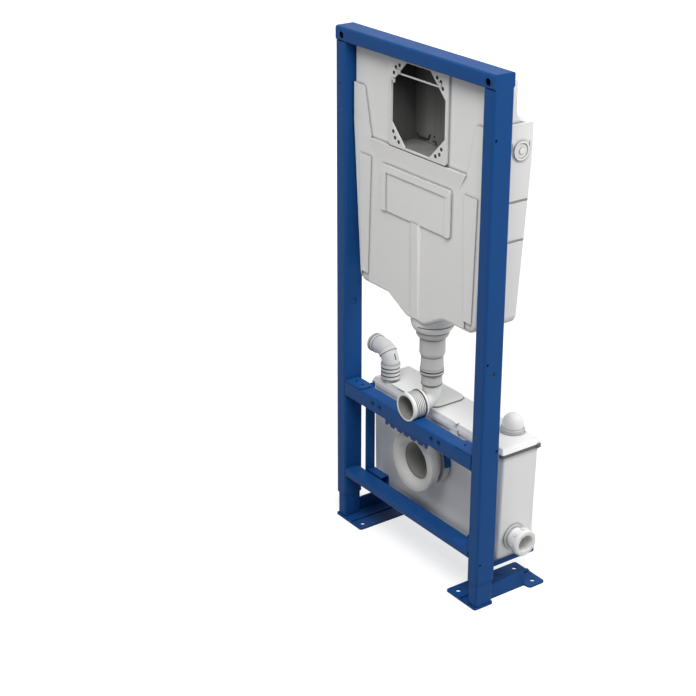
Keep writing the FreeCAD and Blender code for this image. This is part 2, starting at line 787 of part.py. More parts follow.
def cistern_body():
    """The closed outer form: swept in behind the neck, with its front and back edges rounded."""
    front = [("cistern_front", "cistern_top"), ("cistern_front", "sump_bottom")]
    face, side = cistern_solid("cistern_outer", "0", front)
    neck, shoulder = value("neck_depth"), value("cistern_shoulder")
    side = rounded("cistern_sweep", side, "x", value("neck_sweep"),
                   lambda middle: abs(middle.y - neck) < TINY and abs(middle.z - shoulder) < TINY)

    def on_rim(edge):
        span = edge.BoundBox
        flat = span.YLength < TINY and min(abs(span.YMin - value("cistern_front")),
                                           abs(span.YMin - value("cistern_back"))) < TINY
        return flat and span.ZMin < shoulder - TINY and span.ZMax < shoulder + TINY
    return filleted("cistern_form", common("cistern_block", face, side), value("cistern_edge"), on_rim)


def front_mouldings():
    """The ribs, the brow under the opening and the ridge that stand proud of the cistern's front."""
    pieces = []
    sunk = "cistern_front + overcut"
    for side, sign in SIDES:
        corners = [(f"{sign}(inner_half - rib_outer_gap)", "rib_top"),
                   (f"{sign}(inner_half - rib_inner_gap)", "rib_top"),
                   (f"{sign}rib_low_inner", "rib_bottom"), (f"{sign}rib_low_outer", "rib_bottom")]
        rib = padded("front_rib_" + side, "XZ", corners, "rib_proud + overcut")
        pieces.append(place(rib, ("0", "cistern_front - rib_proud", "0")))
    low = "panel_bottom - brow_height"
    wedge = padded("brow_wedge", "YZ", [("cistern_front", low), (sunk, low), (sunk, "panel_bottom"),
                                        ("cistern_front - brow_proud", "panel_bottom")], "frame_width")
    place(wedge, ("-half_width", "0", "0"))
    half, low_half = "panel_bottom_half", "(panel_bottom_half - brow_slant)"
    mask = padded("brow_mask", "XZ", [(f"-{half}", "panel_bottom"), (f"-{low_half}", low), (low_half, low),
                                      (half, "panel_bottom")], "cistern_back")
    pieces.append(common("brow", wedge, mask))

    def ridge_section(proud):
        crest = f"cistern_front - {proud}"
        return [("-ridge_half", sunk), ("-ridge_crest", crest), ("ridge_crest", crest), ("ridge_half", sunk)]
    pieces.append(lofted("ridge", [("sump_bottom + cistern_edge", ridge_section("ridge_low")),
                                   ("blank_bottom", ridge_section("blank_thickness"))]))
    return pieces


def cistern_cuts():
    """The opening's sunk panel, the window, the outlet, the rib pockets and the side notches."""
    right = [("panel_bottom_half", "panel_bottom"), ("panel_top_half", "cistern_shoulder"),
             ("inner_half", "cistern_shoulder"), ("inner_half", "frame_height")]
    left = [("-" + x, z) for x, z in reversed(right)]
    panel = padded("panel_sunk", "XZ", right + left, "panel_face")
    tab = value("panel_top_half")
    cuts = [rounded("panel_sunk_round", panel, "y", value("panel_corner"),
                    lambda middle: abs(abs(middle.x) - tab) < TINY)]
    cuts.append(box("cistern_window", ("-window_half - shaft_wall", "0", "window_bottom - shaft_wall"),
                    ("2 * (window_half + shaft_wall)", "cistern_seam", "window_height + 2 * shaft_wall")))
    cuts.append(rod("cistern_outlet", "z", ("0", "flush_axis_depth", "sump_bottom - overcut"),
                    "flush_bore", "cistern_wall + sump_depth"))
    taper = "(shoulder_half - bottom_half) / (cistern_taper - cistern_bottom)"
    for side in ("left", "right"):
        low_x = "rib_low_inner" if side == "right" else "-rib_low_outer"
        cuts.append(box("rib_pocket_" + side, (low_x, "0", "rib_bottom - pocket_gap - pocket_height"),
                        ("rib_low_outer - rib_low_inner", "cistern_front + pocket_depth", "pocket_height")))
        for i in range(2):
            height = f"(cistern_shoulder - notch_drop - {i} * notch_pitch)"
            face = f"(bottom_half + ({height} - cistern_bottom) * {taper} - notch_depth)"
            low_x = face if side == "right" else f"-{face} - cistern_bottom_gap"
            cuts.append(box(f"side_notch_{side}_{i}", (low_x, "cistern_seam", f"{height} - notch_height"),
                            ("cistern_bottom_gap", "cistern_back", "notch_height")))
    return cuts


def make_cistern():
    outer = cistern_body()
    high, low = "panel_face + cistern_wall", "cistern_front + cistern_wall"
    step = "panel_bottom - cistern_wall"
    front = [(high, "cistern_top - cistern_wall"), (high, step), (low, step),
             (low, "sump_bottom + cistern_wall")]
    inner = common("cistern_inside", *cistern_solid("cistern_inner", "cistern_wall", front))
    shell = cut("cistern_shell", outer, inner, *cistern_cuts())
    front_half = box("cistern_front_half", ("-half_width", "0", "0"),
                     ("frame_width", "cistern_seam", "frame_height"))
    back_half = box("cistern_back_half", ("-half_width", "cistern_seam", "0"),
                    ("frame_width", "cistern_back", "frame_height"))
    front_shell = common("cistern_front_shell", shell, front_half)
    node("cistern_front", fuse("cistern_front_moulding", front_shell, *front_mouldings()))
    node("cistern_back", common("cistern_back_shell", shell, back_half))
    return outer


def make_service_opening():
    block_bottom, block_height = "window_bottom - shaft_wall", "window_height + 2 * shaft_wall"
    shaft = box("shaft_block", ("-window_half - shaft_wall", "panel_face", block_bottom),
                ("2 * (window_half + shaft_wall)", "shaft_back - panel_face", block_height))
    hole = box("shaft_hole", ("-window_half", "0", "window_bottom"),
               ("2 * window_half", "shaft_back - shaft_wall", "window_height"))
    node("service_shaft", cut("service_shaft_cut", shaft, hole))
    collar = box("collar_block", ("-window_half - collar_width", "collar_front", block_bottom),
                 ("2 * (window_half + collar_width)", "panel_face - collar_front", block_height))
    sill = value("window_bottom")
    collar = rounded("collar_round", collar, "y", value("collar_corner"), lambda middle: middle.z < sill)
    opening = box("collar_hole", ("-window_half", "0", "window_bottom"),
                  ("2 * window_half", "cistern_back", "window_height"))
    node("opening_collar", cut("opening_collar_cut", collar, opening))
    low = [make_gusset("gusset_low_" + side, sign, "window_bottom", "+") for side, sign in SIDES]
    high = [make_gusset("gusset_high_" + side, sign, "window_top", "-") for side, sign in SIDES]
    tie_half = "(window_half - gusset_leg + tie_drop + overcut)"
    tie = box("gusset_tie", (f"-{tie_half}", "collar_front", "window_top - tie_drop - tie_height"),
              (f"2 * {tie_half}", "gusset_thickness", "tie_height"))
    node("corner_gussets", group("corner_gusset_set", [*low, fuse("tied_gussets", *high, tie)]))


def make_gusset(name, sign, edge, inward):
    """A perforated triangle that fills one corner of the service opening."""
    corner = (f"{sign}window_half", edge)
    along = (f"{sign}(window_half - gusset_leg)", edge)
    up = (f"{sign}window_half", f"{edge} {inward} gusset_leg")
    body = padded(name, "XZ", [corner, along, up], "gusset_thickness")
    place(body, ("0", "collar_front", "0"))
    spots = [("near", "far"), ("middle", "middle"), ("far", "near")]
    holes = []
    for i, (over, rise) in enumerate(spots):
        spot = (f"{sign}(window_half - gusset_hole_{over})", "0", f"{edge} {inward} gusset_hole_{rise}")
        holes.append(rod(f"{name}_hole_{i}", "y", spot, "gusset_hole_radius", "cistern_back"))
    return cut(name + "_cut", body, *holes)


def make_blank_plate():
    plate = box("blank_block", ("-blank_half", "blank_face", "blank_bottom"),
                ("2 * blank_half", "blank_thickness", "blank_height"))
    plate = rounded("blank_round", plate, "y", value("blank_corner"))
    sunk = box("blank_sunk", ("blank_margin - blank_half", "0", "blank_bottom - overcut"),
               ("2 * (blank_half - blank_margin)", "blank_face + blank_recess",
                "blank_height - blank_margin + overcut"))
    node("blank_plate", cut("blank_plate_cut", plate, sunk))


def make_inlet_bosses(cistern):
    """Blanked inlets on the cistern's sides: a ring round a sunk disc with a hub."""
    base = "-cistern_wall"
    outline = [("0", base), ("inlet_ring_radius", base), ("inlet_ring_radius", "inlet_ring_reach"),
               ("inlet_disc_radius", "inlet_ring_reach"), ("inlet_disc_radius", "inlet_disc_reach"),
               ("inlet_hub_radius", "inlet_disc_reach"), ("inlet_hub_radius", "inlet_ring_reach"),
               ("0", "inlet_ring_reach")]
    boss = turned("inlet_boss_body", "x", outline)
    place(boss, ("shoulder_half", "inlet_boss_depth", "cistern_shoulder - inlet_boss_drop"))
    pair("inlet_boss", cut("right_inlet_boss", boss, cistern))


def make_flush_pipe():
    at = ("0", "flush_axis_depth")
    boss = turned("sump_boss_body", "z", ring("flush_bore", "boss_radius", "0", "boss_height"))

    def is_lower_rim(edge):
        return edge.BoundBox.XLength > 2 * value("boss_radius") - TINY and edge.BoundBox.ZMax < TINY
    cup = filleted("sump_boss_cup", boss, value("boss_round"), is_lower_rim)
    node("sump_boss", cup, *at, "boss_bottom")
    nut = [("flush_bore", "0"), ("nut_radius - nut_taper", "0"), ("nut_radius", "nut_height - nut_land"),
           ("nut_radius", "nut_height"), ("flush_bore", "nut_height")]
    node("outlet_nut", turned("outlet_nut_body", "z", nut), *at, "nut_bottom")
    upper = [("flush_bore", "0"), ("sleeve_top_radius - sleeve_chamfer", "0"),
             ("sleeve_top_radius", "sleeve_chamfer_height"), ("sleeve_top_radius", "sleeve_top_height"),
             ("flush_bore", "sleeve_top_height")]
    node("upper_sleeve", turned("upper_sleeve_body", "z", upper), *at, "sleeve_joint")
    first, second = "sleeve_low_height", "sleeve_low_height + sleeve_bead_height + sleeve_bead_gap"
    lower = [("flush_bore", "0"), ("sleeve_low_radius", "0")]
    for start in (first, second):
        end = f"{start} + sleeve_bead_height"
        lower += [("sleeve_low_radius", start), ("sleeve_bead_radius", start), ("sleeve_bead_radius", end)]
        lower.append(("sleeve_low_radius" if start == first else "sleeve_mid_radius + sleeve_flare", end))
    lower += [("sleeve_mid_radius", "sleeve_length"), ("flush_bore", "sleeve_length")]
    node("lower_sleeve", turned("lower_sleeve_body", "z", lower), *at, "sleeve_bottom")


def make_flush_elbow():
    """Pipe from the sleeve down and forward to the spigot."""
    centre = ("0", "elbow_face", "flush_height + flush_bend")
    toward = Rotation(Vector(0, 1, 0), Vector(0, 0, -1), Vector(-1, 0, 0), "XYZ")
    solids = []
    for name, radius in (("outer", "flush_pipe_radius"), ("inner", "flush_bore")):
        curve = bend("flush_bend_" + name, radius, "flush_bend", 90, toward, centre)
        run = rod("flush_run_" + name, "z", ("0", "flush_axis_depth", "flush_height + flush_bend"), radius,
                  "sleeve_bottom - flush_height - flush_bend")
        solids.append(fuse("flush_elbow_" + name, curve, run))
    node("flush_elbow", cut("flush_elbow_cut", *solids))


def make_flush_spigot():
    """Ribbed socket at the front that takes the pan's flush connector."""
    length = "(elbow_face - spigot_setback)"
    flange, neck = "spigot_flange_start", "spigot_flange_start + spigot_flange_width"
    step = "(spigot_flange_start - spigot_lip) / (spigot_rib_count + 1)"
    crest = "spigot_body_radius + spigot_rib_height"
    outline = [("spigot_bore", "0"), ("spigot_radius", "0"), ("spigot_radius", "spigot_lip"),
               ("spigot_body_radius", "spigot_lip")]
    for i in range(1, int(value("spigot_rib_count")) + 1):
        start = f"spigot_lip + {i} * {step} - spigot_rib_width / 2"
        end = f"{start} + spigot_rib_width"
        outline += [("spigot_body_radius", start), (crest, start), (crest, end), ("spigot_body_radius", end)]
    outline += [("spigot_body_radius", flange), ("spigot_flange_radius", flange),
                ("spigot_flange_radius", neck), ("spigot_neck_radius", neck), ("spigot_neck_radius", length),
                ("flush_bore", length), ("flush_bore", "spigot_socket_depth"),
                ("spigot_bore", "spigot_socket_depth")]
    node("flush_spigot", turned("flush_spigot_body", "y", outline), "0", "spigot_setback", "flush_height")


def tank_solid(name, inset, bottom, top):
    """The tank's drafted form, drawn in by a wall, between two heights above its underside."""
    slope = "tank_draft / tank_height"
    low = f"(tank_half - {inset} + ({bottom}) * {slope})"
    high = f"(tank_half - {inset} + ({top}) * {slope})"
    corners = [(f"-{low}", bottom), (low, bottom), (high, top), (f"-{high}", top)]
    form = padded(name + "_form", "XZ", corners, f"tank_back - tank_front - 2 * {inset}")
    place(form, ("0", f"tank_front + {inset}", "tank_bottom"))
    leaning = value("tank_draft") / value("tank_height")
    radius = value("tank_round") - value("tank_wall") if inset == "tank_wall" else value("tank_round")
    return rounded(name, form, "z", radius, slack=leaning)


def make_tank():
    outer = tank_solid("tank_outer", "0", "0", "tank_height")
    inner = tank_solid("tank_inner", "tank_wall", "tank_wall", "tank_height + overcut")
    flange = box("tank_flange_block", ("-tank_top_half - tank_flange", "tank_front - tank_flange",
                                       "lid_bottom - tank_flange_height"),
                 ("2 * (tank_top_half + tank_flange)", "tank_back - tank_front + 2 * tank_flange",
                  "tank_flange_height"))
    flange = rounded("tank_flange_round", flange, "z", value("lid_round"))
    node("pump_tank", cut("pump_tank_cut", fuse("tank_moulding", outer, flange), inner))
    return outer


def make_lid():
    """Lid with a groove over the tank's flange, a square rim and a crown with sloped sides."""
    inset = "lid_groove_inset"
    seat = box("lid_seat", (f"{inset} - lid_half", f"lid_front + {inset}", "lid_bottom"),
               (f"2 * (lid_half - {inset})", f"lid_depth - 2 * {inset}", "lid_rim"))
    rim = box("lid_rim_block", ("-lid_half", "lid_front", "lid_bottom + lid_groove"),
              ("2 * lid_half", "lid_depth", "lid_rim - lid_groove"))
    rim = rounded("lid_rim_round", rim, "z", value("lid_round"))
    long_side = [("-lid_half", "0"), ("lid_half", "0"), ("lid_half - lid_crown_end", "lid_crown"),
                 ("lid_crown_end - lid_half", "lid_crown")]
    short_side = [("lid_front", "0"), ("lid_back", "0"), ("lid_back - lid_crown_side", "lid_crown"),
                  ("lid_front + lid_crown_side", "lid_crown")]
    side = padded("lid_long", "XZ", long_side, "lid_back")
    end = padded("lid_short", "YZ", short_side, "2 * lid_half")
    place(side, ("0", "0", "lid_bottom + lid_rim"))
    place(end, ("-lid_half", "0", "lid_bottom + lid_rim"))
    column = box("lid_column_block", ("-lid_half", "lid_front", "lid_bottom"),
                 ("2 * lid_half", "lid_depth", "lid_rim + lid_crown"))
    column = rounded("lid_column", column, "z", value("lid_round"))
    node("pump_lid", fuse("pump_lid_form", seat, rim, common("lid_crown_form", side, end, column)))


def make_lid_fittings():
    cover = box("cover_block", ("-cover_left", "lid_front + lid_crown_side", "lid_top"),
                ("cover_left - cover_right", "lid_depth - 2 * lid_crown_side", "cover_height"))
    right = -value("cover_right") - TINY
    cover = rounded("cover_round", cover, "z", value("cover_round"), lambda middle: middle.x > right)
    node("lid_cover", cover)
    clips = []
    for row, face in (("front", "lid_front - clip_thickness"), ("back", "lid_back")):
        for side, sign in SIDES:
            low = (f"{sign}clip_spacing / 2 - clip_width / 2", face, "lid_bottom + lid_rim - clip_height")
            clips.append(box(f"clip_{row}_{side}", low, ("clip_width", "clip_thickness", "clip_height")))
    node("lid_clips", group("lid_clip_set", clips))


def make_vent():
    """Air valve on the lid: a flange, a stepped body and a dome."""
    body = [("0", "0"), ("vent_flange_radius", "0"), ("vent_flange_radius", "vent_flange_height"),
            ("vent_step_radius", "vent_flange_height"), ("vent_step_radius", "vent_step_height"),
            ("vent_radius", "vent_step_height"), ("vent_radius", "vent_body_height"),
            ("0", "vent_body_height")]
    cap = doc.addObject("Part::Sphere", "vent_cap")
    bind(cap, Radius="vent_radius")
    cap.Angle1 = 0
    place(cap, ("0", "0", "vent_body_height"))
    dome = fuse("vent_dome_form", turned("vent_base", "z", body), cap)
    node("vent_dome", dome, "lid_half - vent_end_inset", "lid_back - vent_back_inset", "lid_top")


def make_discharge():
    """Ribbed coupling on the lid and an elbow in two halves that leads out to the left."""
    outline = [("discharge_bore", "0"), ("coupling_foot_radius", "0"),
               ("coupling_foot_radius", "coupling_foot_height")]
    step = "(coupling_height - coupling_foot_height - coupling_lip_height) / coupling_ribs"
    for i in range(int(value("coupling_ribs"))):
        low = f"coupling_foot_height + {step} * {i}"
        high = f"{low} + {step} - coupling_groove"
        outline += [("coupling_radius", low), ("coupling_radius", high), ("discharge_radius", high),
                    ("discharge_radius", f"{low} + {step}")]
    lip = "coupling_height - coupling_lip_height"
    outline += [("coupling_lip_radius", lip), ("coupling_lip_radius", "coupling_height"),
                ("discharge_bore", "coupling_height")]
    coupling = turned("coupling_body", "z", outline)
    node("discharge_coupling", coupling, "-discharge_x", "discharge_depth", "lid_top")
    centre = ("-discharge_x - discharge_bend", "discharge_depth", "coupling_top")
    lower = Rotation(Vector(1, 0, 0), Vector(0, 0, 1), Vector(0, -1, 0), "XYZ")
    upper = lower.multiply(Rotation(AXES["z"], 45))
    solids = {}
    for part, rotation in (("lower", lower), ("upper", upper)):
        for name, radius in (("outer", "discharge_radius"), ("inner", "discharge_bore")):
            solids[part, name] = bend(f"discharge_{part}_{name}", radius, "discharge_bend", 45, rotation,
                                      centre)
    lower_half = cut("discharge_lower_cut", solids["lower", "outer"], solids["lower", "inner"])
    node("discharge_elbow_lower", lower_half)
    lip_sweep = math.degrees(value("discharge_lip_width") / value("discharge_bend"))
    socket = bend("discharge_socket", "discharge_lip_radius", "discharge_bend", lip_sweep, upper, centre)
    mouth = ("-mouth_x", "discharge_depth", "coupling_top + discharge_bend")
    tail = rod("discharge_tail_outer", "x", mouth, "discharge_radius", "discharge_tail")
    lip = rod("discharge_lip", "x", mouth, "coupling_radius", "discharge_lip_width")
    band_x = "2 * discharge_lip_width - mouth_x"
    band = rod("discharge_band", "x", (band_x, *mouth[1:]), "discharge_lip_radius", "discharge_lip_width")
    bore = rod("discharge_tail_bore", "x", mouth, "discharge_bore", "discharge_tail")
    outer = fuse("discharge_upper_form", solids["upper", "outer"], socket, tail, lip, band)
    node("discharge_elbow_upper", cut("discharge_upper_cut", outer, solids["upper", "inner"], bore))


def make_side_inlet(tank):
    """Union on the tank's right end for a second appliance, blanked at its root."""
    step = "inlet_flange_thickness"
    stub = [("0", "0"), ("inlet_flange_radius", "0"), ("inlet_flange_radius", step),
            ("inlet_stub_radius", step), ("inlet_stub_radius", "inlet_stub_reach"),
            ("inlet_bore", "inlet_stub_reach"), ("inlet_bore", "inlet_blank"), ("0", "inlet_blank")]
    stub = place(turned("inlet_stub_body", "x", stub), ("tank_half", "inlet_depth", "inlet_height"))
    node("inlet_stub", cut("inlet_stub_cut", stub, tank))
    nut = [("inlet_bore", "0"), ("union_radius - union_bevel", "0"), ("union_radius", "union_bevel"),
           ("union_radius", "union_reach - union_bevel"), ("union_radius - union_bevel", "union_reach"),
           ("inlet_bore", "union_reach")]
    nut = turned("inlet_nut_body", "x", nut)
    node("inlet_nut", nut, "tank_half + inlet_stub_reach", "inlet_depth", "inlet_height")


def make_tray():
    """Folded pan under the tank, hung on the hanger arms by its front lip."""
    depth = "(tray_back - hanger_back)"
    pan = box("tray_block", ("-tray_half", "hanger_back", "tray_bottom"),
              ("2 * tray_half", depth, "tray_lip"))
    well = box("tray_well", ("tray_thickness - tray_half", "hanger_back + tray_thickness", "tank_bottom"),
               ("2 * (tray_half - tray_thickness)", f"{depth} - 2 * tray_thickness", "tray_lip"))
    front_lip = box("tray_front_fold", ("-hanger_outer", "hanger_back", "tray_bottom"),
                    ("2 * hanger_outer", "tray_thickness", "tray_front_lip"))
    rear_lip = box("tray_rear_fold", ("-tray_half", "tray_back - tray_thickness", "tray_bottom"),
                   ("2 * tray_half", "tray_thickness", "tray_rear_lip"))
    node("pump_tray", fuse("pump_tray_form", cut("tray_pan", pan, well), front_lip, rear_lip))


def check_and_export():
    doc.recompute()
    for piece in doc.Objects:
        if "Invalid" in piece.State or "Error" in piece.State:
            raise RuntimeError(f"{piece.Name} failed: {piece.State}")
    for piece in nodes:
        if piece.Shape.isNull() or not piece.Shape.isValid() or not piece.Shape.Solids:
            raise RuntimeError(f"{piece.Label} has no valid solid")
    os.makedirs("parts", exist_ok=True)
    for piece in nodes:
        piece.Shape.exportStep(f"parts/{piece.Label}.step")
        print(f"{piece.Label}: {len(piece.Shape.Solids)} solid, {piece.Shape.Volume / 1000:.1f} cm3")


fill_sheet()
make_uprights()
make_top_bar()
make_cross_bars()
make_legs()
make_foot_plates()
make_end_plates()
make_hangers()
make_toothed_rail()
make_waste()
make_waste_clamp()
cistern = make_cistern()
make_service_opening()
make_blank_plate()
make_inlet_bosses(cistern)
make_flush_pipe()
make_flush_elbow()
make_flush_spigot()
tank = make_tank()
make_lid()
make_lid_fittings()
make_vent()
make_discharge()
make_side_inlet(tank)
make_tray()
check_and_export()
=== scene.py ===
import json
import math

import bmesh
import bpy
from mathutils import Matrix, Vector


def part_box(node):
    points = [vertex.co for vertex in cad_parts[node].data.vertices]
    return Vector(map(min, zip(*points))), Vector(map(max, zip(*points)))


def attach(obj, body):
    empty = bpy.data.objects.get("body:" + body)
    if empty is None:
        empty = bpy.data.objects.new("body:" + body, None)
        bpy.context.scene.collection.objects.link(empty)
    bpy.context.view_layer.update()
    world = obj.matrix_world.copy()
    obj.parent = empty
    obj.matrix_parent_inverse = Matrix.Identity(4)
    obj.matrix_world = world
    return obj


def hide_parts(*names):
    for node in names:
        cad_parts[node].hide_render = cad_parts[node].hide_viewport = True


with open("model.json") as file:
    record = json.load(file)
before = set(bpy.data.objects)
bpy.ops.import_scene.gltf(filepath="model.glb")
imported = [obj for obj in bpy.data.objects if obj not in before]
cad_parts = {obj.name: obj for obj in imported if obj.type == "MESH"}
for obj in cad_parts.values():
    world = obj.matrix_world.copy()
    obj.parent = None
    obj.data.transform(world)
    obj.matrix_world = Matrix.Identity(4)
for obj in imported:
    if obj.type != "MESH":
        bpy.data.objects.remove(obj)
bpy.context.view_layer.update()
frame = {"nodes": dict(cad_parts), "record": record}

bl_info = {
    "name": "Wall Hung Toilet Frame",
    "version": (1, 0, 0),
    "blender": (4, 5, 0),
    "location": "View3D > Sidebar > Toilet Frame",
    "description": "Dresses a steel installation frame with its cistern, flush pipe and macerator",
    "category": "Object",
}

NODE_SLOT = {part["node"]: part["material_slot"] for part in frame["record"]["subparts"]}
MOUNTS = {mount["name"]: mount for mount in frame["record"]["mounts"]}
# Painted shade: the waste collar and pipe take a darker copy of the fitting plastic, for the shadow of
# the bar over them.
SHADED_WASTE_NODES = ("waste_collar", "waste_pipe")
TURN = {"x": (0, math.pi / 2, 0), "y": (math.pi / 2, 0, 0), "z": (0, 0, 0), "bend": (0, -math.pi / 4, 0)}

# Edges sharper than the first are bevelled, and edges flatter than the second are shaded smooth.
SHARP_ANGLE = math.radians(40)
SMOOTH_ANGLE = math.radians(38)
BUSH_ROUNDING = 0.0006

# Height and radius of each step along the flush pipe's turned pieces, from the bottom up.
SLEEVE_PROFILE = (
    (0.4740, 0.0245), (0.4742, 0.0250), (0.4800, 0.0275), (0.4815, 0.0277), (0.4830, 0.0275),
    (0.5180, 0.0275))
NUT_PROFILE = (
    (0.5160, 0.0280), (0.5162, 0.0296), (0.5180, 0.0318), (0.5205, 0.0337), (0.5230, 0.0350),
    (0.5255, 0.0355), (0.5330, 0.0355))
BOSS_PROFILE = (
    (0.5320, 0.0345), (0.5322, 0.0365), (0.5335, 0.0388), (0.5360, 0.0411), (0.5395, 0.0434),
    (0.5435, 0.0453), (0.5480, 0.0466), (0.5530, 0.0470))

# Depth behind the waste collar's mouth and radius, from the throat over the lip to the outside.
BELL_PROFILE = (
    (0.0150, 0.0409), (0.0115, 0.0428), (0.0080, 0.0452), (0.0045, 0.0482), (0.0020, 0.0515),
    (0.0005, 0.0555), (0.0, 0.0595), (0.0003, 0.0630), (0.0014, 0.0655), (0.0040, 0.0660),
    (0.0150, 0.0660))

# Height and radius of the dark rings that paint the shadow lines at the joints of the flush pipe, and
# heights of those on the discharge coupling.
FLUSH_SHADOW_RINGS = (
    (0.5315, 0.0355), (0.5152, 0.0275), (0.4735, 0.0236), (0.4412, 0.0250), (0.4335, 0.0250),
    (0.4088, 0.0222))
COUPLING_SHADOW_RINGS = (0.353, 0.362, 0.371)

# Distance across and up from the middle of the service opening, and the way to each of its corners.
GROMMET_SPOTS = ((0.059, 0.0775), (0.071, 0.0715), (0.077, 0.0595))
GROMMET_CORNERS = {"rb": (1, -1), "lb": (-1, -1), "rt": (1, 1), "lt": (-1, 1)}

# Place across and height of the tabs on the gussets and of the wires on the shaft's back wall.
GUSSET_TABS = {
    "gusset_tab_left": (-0.081, 1.052),
    "gusset_tab_top_left": (-0.063, 1.072),
    "gusset_tab_top_right": (0.066, 1.074),
}
HOOK_PATH = ((-0.080, 0.931), (-0.070, 0.9265), (-0.046, 0.9265), (-0.040, 0.9285), (-0.036, 0.938))
CLIP_PATH = ((-0.026, 0.9275), (-0.016, 0.9275), (-0.016, 0.921))
PEG_PATH = ((-0.022, 0.9355), (-0.022, 0.9385))

LIGHT_AIM = Vector((0, 0, 0.55))
LIGHT_SIZE = 1.8


class FrameColours(bpy.types.PropertyGroup):
    """Colours of the object's materials."""
    blue: bpy.props.FloatVectorProperty(
        name="Frame blue", description="Powder coat of the steel", subtype="COLOR",
        size=3, min=0, max=1, default=(0.0093, 0.069, 0.240))
    cistern: bpy.props.FloatVectorProperty(
        name="Cistern", description="Blow moulded cistern shell", subtype="COLOR",
        size=3, min=0, max=1, default=(0.88, 0.875, 0.86))
    pump: bpy.props.FloatVectorProperty(
        name="Pump", description="Macerator housing", subtype="COLOR",
        size=3, min=0, max=1, default=(0.86, 0.86, 0.855))
    fitting: bpy.props.FloatVectorProperty(
        name="Fittings", description="Sockets, elbows and collars", subtype="COLOR",
        size=3, min=0, max=1, default=(0.80, 0.80, 0.785))
    # Painted shade: the same plastic as the fittings, darker for the shadow of the bar over the waste
    # collar, pipe and bell.
    waste: bpy.props.FloatVectorProperty(
        name="Waste socket", description="Flared collar and pipe of the waste", subtype="COLOR",
        size=3, min=0, max=1, default=(0.56, 0.56, 0.55))
    pipe: bpy.props.FloatVectorProperty(
        name="Flush pipe", description="Sleeves of the flush pipe", subtype="COLOR",
        size=3, min=0, max=1, default=(0.57, 0.57, 0.56))
    shaft: bpy.props.FloatVectorProperty(
        name="Shaft", description="Inside of the service opening", subtype="COLOR",
        size=3, min=0, max=1, default=(0.20, 0.20, 0.195))
    # Painted shadow: besides the real seals, this dark grey colours the rings at the pipe joints, the
    # line along the sump's crease and the bead round the lid's cover, which stand in for shade.
    rubber: bpy.props.FloatVectorProperty(
        name="Seals", description="Seals of the pump's lid and rings of the pipe joints", subtype="COLOR",
        size=3, min=0, max=1, default=(0.15, 0.15, 0.15))
    liner: bpy.props.FloatVectorProperty(
        name="Liners", description="Inside of the waste and flush sockets", subtype="COLOR",
        size=3, min=0, max=1, default=(0.27, 0.27, 0.265))


class FrameDetails(bpy.types.PropertyGroup):
    """Sizes of the small pieces that dress the frame."""
    bush_bore: bpy.props.FloatProperty(
        name="Bush bore", description="Radius of the thread in a bush", unit="LENGTH", default=0.0042)
    bush_setback: bpy.props.FloatProperty(
        name="Bush setback", description="How far a bush sits behind its face", unit="LENGTH",
        default=0.0006)
    weld_radius: bpy.props.FloatProperty(
        name="Weld radius", description="Half thickness of a weld bead", unit="LENGTH", default=0.0017)
    weld_pitch: bpy.props.FloatProperty(
        name="Weld pitch", description="Length of one ripple of a weld", unit="LENGTH", default=0.0016)
    seal_proud: bpy.props.FloatProperty(
        name="Seal proud", description="How far the lid's seal stands out", unit="LENGTH", default=0.0006)
    lug_count: bpy.props.IntProperty(
        name="Lugs", description="Grip lugs round the side union", default=8, min=3)
    lug_height: bpy.props.FloatProperty(
        name="Lug height", description="How far a grip lug stands out", unit="LENGTH", default=0.0012)
    # Painted shadow: the rings at the pipe joints are dark lines for the shade under each step.
    ring_radius: bpy.props.FloatProperty(
        name="Joint ring", description="Half thickness of a ring at a pipe joint", unit="LENGTH",
        default=0.0011)
    seam_radius: bpy.props.FloatProperty(
        name="Seam", description="Half thickness of the cistern's moulding seam", unit="LENGTH",
        default=0.0008)
    rim_radius: bpy.props.FloatProperty(
        name="Inlet rim", description="Half thickness of the rim under an inlet", unit="LENGTH",
        default=0.0012)
    # Painted shadow: the joint round the lid's cover is a dark bead for the shade in the gap.
    cover_shadow_radius: bpy.props.FloatProperty(
        name="Cover joint", description="Half width of the joint round the lid's cover", unit="LENGTH",
        default=0.0009)
    grommet_radius: bpy.props.FloatProperty(
        name="Grommet", description="Radius of a grommet in a gusset", unit="LENGTH", default=0.0042)
    hook_radius: bpy.props.FloatProperty(
        name="Hook", description="Half thickness of the wire hook in the shaft", unit="LENGTH",
        default=0.0017)


class FrameStage(bpy.types.PropertyGroup):
    """Camera and light round the object."""
    camera_place: bpy.props.FloatVectorProperty(
        name="Camera place", description="Where the camera stands", subtype="TRANSLATION",
        unit="LENGTH", size=3, default=(2.41588, -1.95654, 1.85472))
    camera_tilt: bpy.props.FloatProperty(
        name="Camera tilt", description="Angle of the camera up from straight down", subtype="ANGLE",
        default=math.pi / 2 - 0.41664)
    camera_turn: bpy.props.FloatProperty(
        name="Camera turn", description="Angle of the camera about the upright", subtype="ANGLE",
        default=0.95330)
    lens: bpy.props.FloatProperty(
        name="Lens", description="Focal length on a 36 mm sensor", unit="CAMERA", default=83.603)
    sky_top: bpy.props.FloatProperty(
        name="Sky overhead", description="Strength of the light from straight above", default=0.3)
    sky_edge: bpy.props.FloatProperty(
        name="Sky edge", description="Strength of the light from the horizon", default=0.04)
    key_watts: bpy.props.FloatProperty(
        name="Key light", description="Power of the soft light from the front right", unit="POWER",
        default=96)
    side_watts: bpy.props.FloatProperty(
        name="Side light", description="Power of the light from the back right", unit="POWER", default=66)
    fill_watts: bpy.props.FloatProperty(
        name="Fill light", description="Power of the light from the front left", unit="POWER", default=7)


def corners(node):
    """Lowest and highest corner of a solid."""
    low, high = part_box(node)
    return Vector(low), Vector(high)


def centre_of(node):
    """Middle of a solid's box."""
    low, high = corners(node)
    return (low + high) / 2


